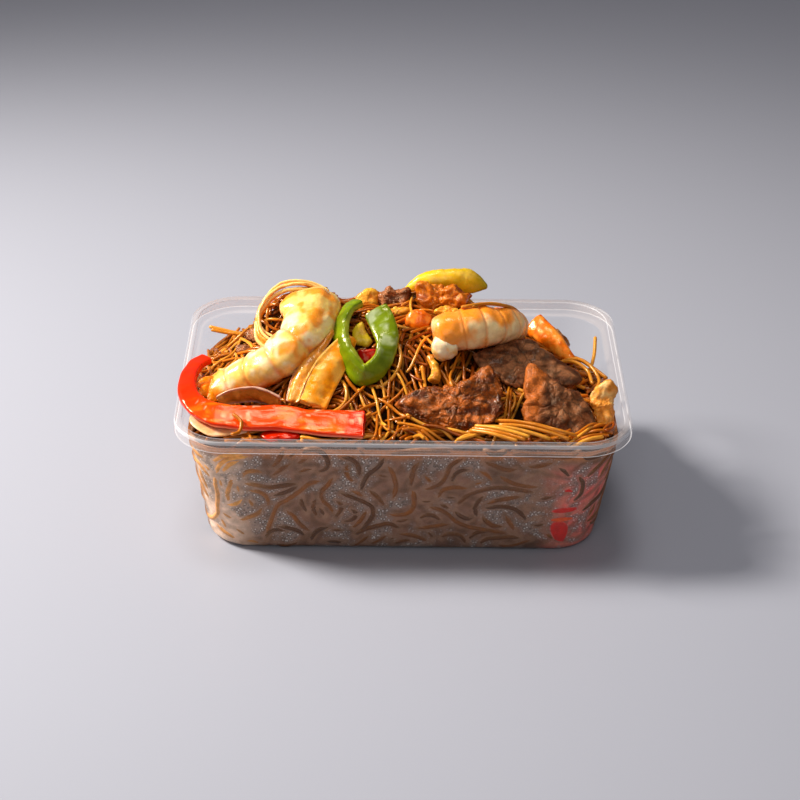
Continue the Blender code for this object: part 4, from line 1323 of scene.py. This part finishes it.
def make_peppers():
    rows = [
        (-17.6, 4.0, 79.6, 3.0, 1.8, 60),
        (-21.6, -1.0, 78.6, 3.6, 1.8, 62),
        (-24.0, -9.5, 75.2, 3.9, 1.8, 56),
        (-22.2, -19.0, 69.8, 4.2, 1.8, 46),
        (-15.4, -26.8, 64.4, 4.6, 1.8, 30),
        (-8.6, -22.4, 67.6, 4.0, 1.7, 18),
        (-6.4, -15.0, 73.0, 4.4, 1.6, 8),
        (-8.4, -8.6, 77.4, 5.0, 1.6, 0),
        (-11.0, -4.0, 80.6, 4.8, 1.6, 0),
    ]
    how = dict(rings=130, sides=48, square=3.4, cap=0.5)
    relief = lumps(0.35, 6, 52)
    swept_piece("green_pepper_ring", rows, how, green_look, relief, "green_pepper", "green_pepper")
    rows = [
        (-76.0, -4.0, 58.6, 3.0, 1.6, 25),
        (-80.2, -10.0, 58.6, 3.3, 1.7, 20),
        (-82.2, -22.0, 58.6, 3.4, 1.8, 10),
        (-80.0, -34.6, 57.8, 3.8, 1.8, 0),
        (-72.4, -42.8, 56.6, 4.6, 1.8, -5),
        (-60.0, -45.6, 56.2, 5.2, 1.8, -8),
        (-46.0, -45.4, 56.0, 5.2, 1.8, -8),
        (-30.0, -47.6, 55.4, 5.4, 1.8, -10),
        (-14.0, -48.0, 55.0, 6.2, 1.8, -10),
    ]
    how = dict(rings=200, sides=48, square=3.4, cap=0.8)
    swept_piece(
        "red_pepper_strip", rows, how, red_long_look, red_long_relief, "red_pepper", "red_pepper_long",
        (0.0, -0.55, 0.83),
    )
    ends = [
        (
            "red_pepper_under", (-46.0, -50.6, 51.6), (8, 5, 3, 2.4, 2.6, 5, 7, 5, 3, 2.2, 2.6, 5), 1.2,
            (12, 0, 0), 2, 0.4,
        ),
        (
            "red_pepper_mid_left", (-26.4, -24.0, 62.2), (3.5, 4, 4, 2.5, 2.5, 3, 4, 4.5, 3, 2.5, 2.5, 2.5),
            1.4, (50, 0, 0), 3, 0.4,
        ),
        (
            "red_pepper_mid_right", (-13.6, -17.0, 67.6),
            (4, 4.5, 3, 2.5, 2.5, 4, 3.5, 3.5, 3.5, 3.5, 2.5, 3), 1.4, (50, 0, 0), 4, 0.4,
        ),
    ]
    dark = two_tone(RED_SKIN, RED_DARK, 4, 71, -0.6, 0.4)
    for name, centre, outline, depth, turn, seed, rough in ends:
        shape = (centre, outline, depth, turn, seed, rough, 0.0, 3.0, 20, 60)
        chunk_piece(name, shape, dark, lumps(0.2, 3, seed + 70), "red_pepper")
    grid = chunk_grid(
        (62.0, -49.0, 17.4),
        (5.8, 6.8, 9.8, 13.0, 9.2, 6.2, 5.2, 6.4, 10.2, 13.4, 10.6, 6.8),
        1.1,
        (98, 0, 9),
        5,
        0.1,
        0.02,
        tiers=60,
        around=160,
    )
    body(
        "red_pepper_corner_piece", *grid, corner_look, fog_material(), "red_pepper", corner_press,
        ["red_pepper_corner"], False,
    )


ONION_GOLD = rgb(250, 146, 6)
ONION_PALE = rgb(253, 200, 92)
ONION_PURPLE = rgb(150, 84, 66)
YELLOW = rgb(254, 196, 24)
YELLOW_GREEN = rgb(160, 146, 4)


def onion_look(edge_tint, edge=0.82, seed=81, base=ONION_GOLD):
    def look(p, n, t, a):
        streak = fractal(p * np.array((0.8, 0.5, 0.5)), 2.5, seed)
        colour = blend(base, ONION_PALE, ease(streak, 0.0, 0.8) * 0.5)
        rim = ease(np.cos(math.tau * a), edge, 0.97)
        far = ease(-np.cos(math.tau * a), edge, 0.97)
        return blend(colour, edge_tint, np.maximum(rim, far * 0.6) * 0.8)

    return look


def onion_relief(p, n, t, a):
    ribs = 0.4 * fractal(p, 3.5, 89) + 0.3 * np.sin(26 * a + 3 * t)
    return ribs * ease(np.abs(np.sin(math.tau * a)), 0.1, 0.6)


def spring_top_look(p, n, t, a):
    green = np.maximum(ease(t, 0.68, 0.95), ease(n[..., 2], 0.75, 1.0) * 0.5 * ease(t, 0.2, 0.6))
    streak = ease(fractal(p * np.array((0.3, 1, 1)), 2, 93), 0, 0.8)
    return blend(blend(YELLOW, rgb(254, 216, 100), streak * 0.5), YELLOW_GREEN, green * 0.9)


def make_onions():
    purple = onion_look(ONION_PURPLE, 0.62, 81, rgb(226, 138, 40))
    strips = [
        (
            "onion_left_a",
            [
                (-27.6, -9.0, 74.2, 1.8, 0.8, 20), (-34.0, -20.0, 69.4, 3.0, 0.9, 24),
                (-39.2, -28.2, 63.4, 3.4, 0.9, 24), (-41.6, -37.0, 58.0, 2.8, 0.9, 20),
            ],
            purple,
        ),
        (
            "onion_left_b",
            [
                (-20.2, -12.0, 73.2, 3.0, 1.3, 0), (-27.0, -22.0, 66.8, 5.6, 1.6, 0),
                (-31.4, -29.4, 61.8, 6.0, 1.7, 0), (-34.4, -38.0, 57.2, 5.6, 1.5, 0),
            ],
            onion_look(rgb(240, 190, 90), 0.8, 86),
        ),
        (
            "onion_arc",
            [
                (-70.0, -32.4, 55.4, 2.8, 0.8, 50), (-64.0, -32.0, 57.6, 4.0, 0.9, 50),
                (-55.0, -32.4, 58.6, 4.4, 0.9, 50), (-46.0, -35.6, 57.0, 3.4, 0.9, 50),
            ],
            onion_look(rgb(214, 184, 180), 0.6, 88, rgb(196, 122, 40)),
        ),
    ]
    for name, rows, look in strips:
        how = dict(rings=70, sides=32, square=2.6, cap=0.8)
        swept_piece(name + "_petal", rows, how, look, onion_relief, "onion", name)
    arch = smooth_path(
        [
            (-30.0, 15.0, 77.4), (-35.0, 16.6, 79.4), (-42.5, 16.0, 80.8), (-50.0, 14.0, 79.0),
            (-56.0, 8.0, 73.0), (-55.8, 0.0, 67.4), (-50.6, -4.6, 65.0),
        ]
    )
    rng = np.random.default_rng(5)
    paths = []
    for across, up in ((-1.3, -0.6), (-0.2, 0.7), (1.0, -0.2), (2.0, 0.5), (0.4, -1.2)):
        sway = np.cumsum(rng.normal(0, 0.10, arch.shape), axis=0)
        paths.append(arch + np.array((0.3, across, up)) + sway)
        ALL_FORMS.append(paths[-1])
    tints = [np.broadcast_to(blend(GLAZE, rgb(252, 214, 130), rng.random()), path.shape) for path in paths]
    mesh_object(
        "onion_ring_petal", *strand_tubes(paths, [0.75, 0.6, 0.8, 0.55, 0.7], tints, 10),
        MATERIALS["onion"], "onion", ["onion_ring"],
    )
    grid = chunk_grid(
        (-68.4, -42.6, 51.9), (15, 6.5, 4.5, 5.5, 8, 12.5, 11.4, 9.5, 8.5, 7.5, 8, 12), 0.8, (8, 0, 0), 6,
        0.3, -0.006, tiers=20, around=90,
    )
    look = two_tone(rgb(236, 176, 116), rgb(250, 216, 176), 6, 91)
    body(
        "onion_corner_petal", *grid, look, MATERIALS["onion"], "onion", lumps(0.2, 5, 92), ["onion_corner"],
    )
    rows = [
        (0.4, 25.4, 73.8, 1.4, 1.4, 0),
        (8.4, 26.0, 78.0, 3.4, 2.8, 0),
        (18.0, 27.0, 78.8, 4.2, 3.2, 0),
        (26.6, 28.0, 77.0, 4.6, 3.0, 0),
        (33.6, 28.6, 74.6, 0.9, 0.9, 0),
    ]
    how = dict(rings=70, sides=40, cap=1.0)
    relief = lumps(0.3, 5, 94)
    swept_piece(
        "spring_onion_top_piece", rows, how, spring_top_look, relief, "spring_onion", "spring_onion_top",
    )
    outline = (3, 2.5, 3, 5.5, 4.5, 4, 3.5, 3.5, 4, 4, 5, 5)
    shape = ((-16.2, -9.8, 72.2), outline, 1.5, (50, 0, 0), 7, 0.3, 0.0, 3.0, 20, 60)
    look = two_tone(rgb(226, 190, 30), rgb(200, 150, 40), 3, 95)
    chunk_piece("spring_onion_mid", shape, look, lumps(0.2, 4, 96), "spring_onion")


BEEF_GREY = rgb(148, 87, 48)
BEEF_BROWN = rgb(96, 43, 14)
BEEF_RED = rgb(100, 35, 3)
BEEF_WARM = rgb(180, 88, 20)
FAT_ORANGE = rgb(190, 92, 14)


def beef_look(light, dark, seed, warm=None):
    def look(p, n, t, a):
        grain = fractal(p * np.array((0.5, 1.4, 1.4)), 3.0, seed, 2)
        colour = blend(np.array(light), np.array(dark), ease(grain, -0.4, 0.6))
        # Painted shade: darker lines along crack-like cell edges.
        first, second = cells(p, 4.2, seed)
        crack = 1 - ease(second - first, 0.02, 0.16)
        colour = colour * (1 - 0.55 * crack)[..., None]
        if warm is not None:
            colour = blend(colour, FAT_ORANGE, warm(p))
        return colour

    return look


def beef_left_strip(p):
    """The roasted edge at the left of the front right slice."""
    return ease(-(p[..., 0] - 52.5 - 0.25 * (p[..., 1] + 34)), -1.5, 2.5) * 0.85


def fried_look(p, n, t, a):
    crust = blend(rgb(246, 154, 54), rgb(254, 204, 128), patches(p, 4, 107, -0.2, 0.6))
    dark = np.maximum(ease(p[..., 0], 77.5, 80), patches(p, 5, 108, 0.3, 0.9))
    return blend(crust, rgb(206, 120, 30), dark * 0.6)


def beef_relief(depth, seed, size=3.6):
    def relief(p, n, t, a):
        first, second = cells(p, size, seed)
        crack = 1 - ease(second - first, 0.0, 0.22)
        bumps, _ = cells(p, 2.4, seed + 4)
        return depth * (fractal(p, 6, seed + 1, 2) + 0.3 * (0.5 - bumps) - 0.4 * crack)

    return relief


def small_piece(name, centre, outline, depth, turn, seed, rough, look, relief, tiers=18, around=54):
    slot = name.split("_")[0]
    shape = (centre, outline, depth, turn, seed, rough, 0.0, 2.4, tiers, around)
    chunk_piece(name, shape, look, relief, slot, "roast" if slot == "pork" else slot)


def make_meats():
    outline = (17.5, 18, 19.5, 10.5, 7, 7.5, 9, 15.5, 23, 17, 13, 11, 11, 11.5, 13.5, 17)
    shape = ((20.4, -37.4, 58.4), outline, 3.2, (48, -4, -3), 11, 1.4, 0.0, 3.0, 76, 220)
    look = beef_look(BEEF_WARM, BEEF_RED, 101)
    chunk_piece("beef_front", shape, look, beef_relief(1.2, 102, 3.2), "beef", "roast")
    outline = (15, 12, 10.5, 9.5, 9.5, 12, 20, 16, 11.5, 14, 12.5, 9, 10.5, 13, 14.5, 18)
    shape = ((57.9, -34.7, 55.6), outline, 2.8, (40, 14, -6), 12, 1.0, 0.0, 3.0, 76, 220)
    look = beef_look(BEEF_GREY, BEEF_BROWN, 103, beef_left_strip)
    chunk_piece("beef_right", shape, look, beef_relief(0.8, 104, 4.2), "beef")
    outline = (23.5, 14, 11.5, 11.5, 11.5, 11, 11, 13, 20, 17, 12, 10.5, 10, 9.5, 10.5, 14)
    shape = ((45.5, -16.6, 63.8), outline, 2.2, (30, 12, -6), 13, 1.0, 0.0, 3.0, 70, 200)
    look = beef_look(rgb(160, 98, 58), BEEF_BROWN, 105)
    chunk_piece("beef_back", shape, look, beef_relief(0.7, 106, 4.0), "beef")
    outline = (3, 3.5, 4.5, 7.5, 10, 7.5, 6.5, 6.5, 5.5, 4.5, 4.5, 5.5, 9, 12, 6, 3.5)
    shape = ((76.2, -29.3, 54.2), outline, 2.4, (60, 10, -10), 19, 0.8, 0.0, 2.4)
    chunk_piece("fried_piece", shape, fried_look, lumps(0.8, 3, 109, 0.4), "fried", "egg")
    glazed = two_tone(rgb(206, 108, 14), rgb(150, 62, 12), 4, 111)
    small_piece(
        "chicken_top", (14.8, 14.6, 76.4),
        (12, 9.5, 7.5, 4.5, 4.5, 4.5, 7, 10, 11, 9.5, 7.5, 5.5, 4.5, 4.5, 5, 7.5), 4.0, (50, 0, 0), 14, 1.6,
        glazed, lumps(1.4, 4.5, 112, 0.35), 36, 110,
    )
    yellow = two_tone(rgb(236, 168, 44), rgb(206, 122, 24), 3, 113)
    small_piece(
        "chicken_top_low", (15.5, 4.4, 75.6), (4.5, 4, 2.5, 2, 2.5, 3, 4, 3.5, 2.5, 2, 2.5, 3), 2.2,
        (40, 0, 0), 20, 0.6, yellow, lumps(0.6, 3, 114),
    )
    tan = two_tone(rgb(190, 126, 70), rgb(140, 80, 36), 3, 115)
    small_piece(
        "chicken_back", (62.6, 22.0, 54.6), (5.5, 3.5, 3, 3, 4, 4.5, 6, 3.5, 3, 2.5, 3.5, 5), 2.6,
        (50, 30, 0), 15, 0.8, tan, lumps(0.6, 3, 116),
    )
    rows = [
        (9.8, -18.0, 68.4, 1.5, 1.2, 0), (12.0, -24.0, 65.4, 1.6, 1.4, 0), (11.2, -28.6, 62.6, 2.8, 1.9, 0),
    ]
    how = dict(rings=30, sides=24, cap=1.0)
    swept_piece("chicken_mid_piece", rows, how, yellow, lumps(0.4, 2.5, 117), "chicken", "chicken_mid")
    egg = two_tone(rgb(240, 176, 50), rgb(214, 130, 26), 3, 118)
    small_piece(
        "egg_top", (-14.2, 19.0, 73.6), (4, 5, 4, 4, 3.5, 4, 5, 4.5, 4, 3.5, 4, 4.5), 2.6, (50, 0, 0), 16,
        0.6, egg, lumps(0.6, 3, 119),
    )
    small_piece(
        "egg_low", (-2.2, 9.2, 72.8), (5, 4, 2.5, 2, 2.5, 3, 4.5, 4, 2.5, 2, 2, 2.5), 2.0, (40, 0, 0), 21,
        0.5, egg, lumps(0.6, 3, 120),
    )
    pork = two_tone(rgb(176, 106, 62), rgb(104, 52, 26), 3, 121)
    small_piece(
        "pork_top", (-3.2, 18.0, 74.6), (7, 6.5, 5, 4, 4.5, 6, 6.5, 6.5, 5, 4, 4.5, 5.5), 3.2, (50, 0, 0),
        17, 1.0, pork, lumps(1.0, 3, 122), 26, 80,
    )
    small_piece(
        "pork_left", (-57.4, 13.4, 59.2), (5.5, 4, 3.5, 3, 4, 5, 4.5, 4.5, 3.5, 3, 3.5, 4.5), 2.6,
        (45, -10, 0), 18, 0.8, pork, lumps(0.7, 3, 123), 20, 60,
    )
    small_piece(
        "pork_left_small", (-62.6, 6.6, 57.0), (3.5, 2, 2, 2, 2.5, 3.5, 3, 2.5, 2, 2, 2.5, 3.5), 1.6,
        (45, -10, 0), 22, 0.4, pork, lumps(0.4, 2, 124), 16, 48,
    )


# Loose strands at given points

LOOSE_RADIUS = 0.72

LOOSE = [
    [
        (-78.0, 34.0, 52.6), (-72.0, 32.0, 52.2), (-66.0, 30.0, 51.8), (-60.0, 27.0, 52.6),
        (-54.0, 22.0, 54.6),
    ],
    [(-77.0, 31.0, 52.8), (-71.0, 29.4, 52.4), (-65.0, 28.0, 52.4), (-59.0, 24.0, 53.6)],
    [(76.8, 21.0, 56.4), (76.0, 14.0, 52.4), (74.0, 7.0, 49.4), (71.0, 0.0, 48.4), (67.0, -6.0, 49.0)],
    [(58.0, 10.0, 54.4), (67.0, 6.4, 55.4), (74.0, 1.6, 53.6), (79.4, -4.0, 51.8)],
    [(26.0, -47.0, 53.4), (32.0, -51.0, 55.0), (38.0, -54.6, 55.6), (44.5, -57.8, 55.2)],
    [(25.0, -48.4, 53.4), (31.0, -52.4, 54.9), (36.0, -55.6, 55.3), (41.5, -58.2, 55.0)],
    [(27.0, -45.4, 53.6), (34.0, -49.4, 55.2), (40.0, -53.0, 55.8), (46.0, -56.2, 55.6)],
    [(4.0, -50.4, 51.4), (6.0, -54.0, 54.4), (7.4, -57.6, 55.3)],
    [(34.0, -43.0, 54.6), (42.0, -46.0, 56.0), (51.0, -48.6, 55.6), (60.0, -51.0, 53.4)],
    [(36.0, -45.0, 54.0), (44.0, -48.2, 55.4), (53.0, -50.8, 54.6), (61.0, -52.6, 52.6)],
    [(30.0, -46.4, 54.0), (38.0, -49.0, 55.2), (46.0, -51.4, 54.8), (54.0, -53.2, 53.0)],
    [(40.0, -43.0, 53.4), (47.0, -45.4, 55.0), (56.0, -49.8, 55.0), (64.0, -50.6, 53.0)],
    [(62.0, -2.0, 58.0), (68.0, -3.0, 59.6), (73.0, -8.0, 58.6), (75.4, -15.0, 56.6), (73.4, -21.0, 56.0)],
    [(60.0, -4.0, 58.4), (66.0, -6.0, 60.0), (71.0, -11.0, 58.8), (72.4, -18.0, 57.0)],
    [(-63.0, -47.2, 58.4), (-60.0, -50.0, 57.0), (-60.6, -53.2, 54.6), (-63.0, -55.6, 54.8)],
    [(22.0, -9.4, 84.8), (30.0, -6.8, 85.0), (37.0, -3.2, 82.8), (42.4, 1.2, 79.0), (46.4, 6.0, 72.8)],
    [(26.0, -8.6, 84.8), (33.0, -4.8, 84.2), (39.6, -1.0, 81.0), (44.6, 4.0, 75.6)],
]


def smooth_path(points, step=1.2):
    rows = [(*point, 0.0, 0.0, 0.0) for point in points]
    fine, lengths = curve_rows(rows)
    stations = np.linspace(0, lengths[-1], max(4, int(lengths[-1] / step)))
    return np.stack([np.interp(stations, lengths, fine[:, k]) for k in range(3)], -1)


def strand_tints(rng, paths):
    tints = []
    for path in paths:
        pick = rng.random()
        base = blend(NOODLE_BROWN, NOODLE_GOLD, min(1.0, pick * 1.5))
        if pick > 0.7:
            base = blend(NOODLE_GOLD, NOODLE_LIGHT, (pick - 0.7) / 0.3)
        # Painted light: strands towards the left end are a little lighter, where the key lamp falls.
        base = blend(base, NOODLE_LIGHT, 0.1 * float(ease(-path[:, 0].mean(), 30, 62)))
        wave = fractal(np.asarray(path, float), 12, 7)[:, None]
        # Painted shade with sauce: strands lying deeper under the heap's top turn dark brown.
        depth = FIELDS["heap"][to_cell(path[:, 0], path[:, 1])] - path[:, 2]
        deep = ease(depth, -1.2, 2.2) * 0.92
        tints.append(blend(base * (1 + 0.25 * wave), NOODLE_DARK, deep))
    return tints


def make_noodles():
    rng = np.random.default_rng(14)
    seen = [front_curve(points) for points in FRONT_CURVES]
    lengths = ((400, 14, 40), (700, 8, 20), (1200, 4, 9))
    curves = wall_curves(rng, room=2.1, seed=201, wander=0.12, lengths=lengths, first=seen)
    lengths = ((400, 12, 30), (600, 6, 16))
    deep_curves = wall_curves(rng, room=1.9, seed=205, wander=0.12, lengths=lengths)
    make_core(curves, deep_curves)
    paths, radii, tints = [], [], []
    for number, path in enumerate(curves):
        u, v = path[:, 0], np.clip(path[:, 1], 1.2, 48.4)
        ends = np.minimum(np.arange(len(u)), np.arange(len(u))[::-1])
        press = 0.66 * ease(ends, -1, 3) - 0.05 + 0.10 * field(np.stack([u, v, u * 0], -1), 6, 4)
        radius = rng.uniform(1.05, 1.35)
        centre = wall_points(u, v, press - radius)
        pick = rng.random()
        if (centre[:, 2] > heap_height(centre[:, 0], centre[:, 1]) + 0.4).any():
            continue
        if (corner_marks(centre) * (centre[:, 1] < -30)).max() > 0.2:
            continue
        paths.append(centre)
        radii.append(radius)
        base = blend(WALL_BROWN, WALL_GOLD, pick)
        if number in GOLD_BUNDLE:
            base = rgb(250, 170, 60)
        # Painted shade darker towards the bottom, and painted light warm where the key lamp falls on the left
        # part.
        low = 0.6 + 0.4 * ease(v, 0, 16)
        lit = ease(-centre[:, 0], 46, 74) * 0.85 * (1 - 0.85 * left_end(u))
        tints.append(blend(base * low[:, None], rgb(240, 166, 92), lit))
    points, faces, tints = strand_tubes(paths, radii, tints, 8)
    # Parts of strands behind the mist take its halo tint, with the same painted light and painted shade.
    lit = ease(-points[:, 0], 46, 74) * (1 - 0.9 * ease(-points[:, 0], 73, 79))
    halo = blend(FOG_HALO, FOG_PEACH, lit) * (0.6 + 0.4 * ease(points[:, 2], 0, 16))[:, None]
    tints = blend(tints, halo, ease(wall_gap(points), -0.15, 0.25) * 0.7)
    mesh_object("pressed_strands", points, faces, tints, MATERIALS["wall_noodle"], "noodle")
    layers = {
        "lower_strands": dict(count=640, over=0.2, lift=0.0, seed=211, shortest=5),
        "upper_strands": dict(count=740, over=1.9, lift=0.4, seed=223, shortest=9),
    }
    for name, how in layers.items():
        paths, radii = top_strands(rng, **how)
        tubes = strand_tubes(paths, radii, strand_tints(rng, paths))
        mesh_object(name, *tubes, MATERIALS["noodle"], "noodle")
    paths = [smooth_path(points) for points in LOOSE]
    picks = [blend(NOODLE_GOLD, NOODLE_LIGHT, rng.random()) for _ in paths]
    tints = [np.broadcast_to(pick, (len(path), 3)) for pick, path in zip(picks, paths)]
    tubes = strand_tubes(paths, [LOOSE_RADIUS] * len(paths), tints, 8)
    mesh_object("loose_strands", *tubes, MATERIALS["noodle"], "noodle")


# Stage, light and camera

def make_stage():
    material, tree, shader = plain("pale_floor")
    place = node(tree, "ShaderNodeTexCoord")
    cloud = node(tree, "ShaderNodeTexNoise", Scale=3.0, Detail=2.0)
    tree.links.new(place.outputs["Object"], cloud.inputs["Vector"])
    colour = mixed(tree, "MIX", cloud.outputs["Fac"], rgb(163, 163, 171), rgb(166, 166, 174))
    tree.links.new(colour, shader.inputs["Base Color"])
    shader.inputs["Roughness"].default_value = 0.45
    mesh = bpy.data.meshes.new("floor")
    size = 4.0
    corners = [(-size, -size, 0), (size, -size, 0), (size, size, 0), (-size, size, 0)]
    mesh.from_pydata(corners, [], [(0, 1, 2, 3)])
    mesh.materials.append(material)
    floor = add_object("floor", mesh)


def aim_at(obj, place, aim):
    obj.location = place
    obj.rotation_euler = (Vector(aim) - obj.location).to_track_quat("-Z", "Y").to_euler()


def area_light(name, place, aim, size, power, colour=(1.0, 1.0, 1.0)):
    light = bpy.data.lights.new(name, "AREA")
    light.shape = "DISK"
    light.size = size
    light.energy = power
    light.color = colour
    aim_at(add_object(name, light), place, aim)


CAMERA_DISTANCE = 841.607791
CAMERA_HEIGHT_ANGLE = 29.4286338
CAMERA_SIDE_ANGLE = -0.509504624
CAMERA_ROLL = 0.868973236
CAMERA_FOCUS_PIXELS = 2132.68152
CAMERA_AIM = (-1.00245733, 0.0, 38.7044917)
IMAGE_SIZE = 800


def make_camera():
    up_angle, side, roll = np.radians((CAMERA_HEIGHT_ANGLE, CAMERA_SIDE_ANGLE, CAMERA_ROLL)).tolist()
    level_reach = math.cos(up_angle)
    back = Vector((math.sin(side) * level_reach, -math.cos(side) * level_reach, math.sin(up_angle)))
    eye = (Vector(CAMERA_AIM) + back * CAMERA_DISTANCE) * MM
    level = (-back).cross(Vector(UP)).normalized()
    upright = level.cross(-back)
    right = level * math.cos(roll) + upright * math.sin(roll)
    up = -level * math.sin(roll) + upright * math.cos(roll)
    data = bpy.data.cameras.new("camera")
    camera = add_object("camera", data)
    camera.matrix_world = Matrix(
        (
            (right.x, up.x, back.x, eye.x),
            (right.y, up.y, back.y, eye.y),
            (right.z, up.z, back.z, eye.z),
            (0.0, 0.0, 0.0, 1.0),
        )
    )
    data.sensor_width = 36.0
    data.lens = CAMERA_FOCUS_PIXELS * 36.0 / IMAGE_SIZE
    bpy.context.scene.camera = camera


def make_light():
    scene = bpy.context.scene
    scene.view_settings.view_transform = "Standard"
    scene.view_settings.look = "None"
    scene.cycles.use_denoising = True
    scene.cycles.transparent_max_bounces = 32
    world = bpy.data.worlds.new("studio")
    world.use_nodes = True
    world.node_tree.nodes["Background"].inputs["Color"].default_value = (*rgb(214, 212, 222), 1.0)
    world.node_tree.nodes["Background"].inputs["Strength"].default_value = 0.185
    scene.world = world
    spot = bpy.data.lights.new("key", "SPOT")
    spot.energy = 124.0
    spot.color = (1.0, 0.97, 0.92)
    spot.spot_size = math.radians(55)
    spot.spot_blend = 1.0
    spot.shadow_soft_size = 0.16
    aim_at(add_object("key", spot), (-0.95, 0.18, 0.85), (-0.21, 0.02, 0.02))
    area_light("overhead", (-0.1, 0.12, 1.2), (0.0, 0.0, 0.04), 0.35, 3.8)
    area_light("fill", (0.0, -1.3, 1.15), (0.0, 0.0, 0.04), 1.0, 5.2)


make_camera()
make_stage()
make_light()
make_prawns()
make_peppers()
make_onions()
make_meats()
make_fields()
make_noodles()
make_box()
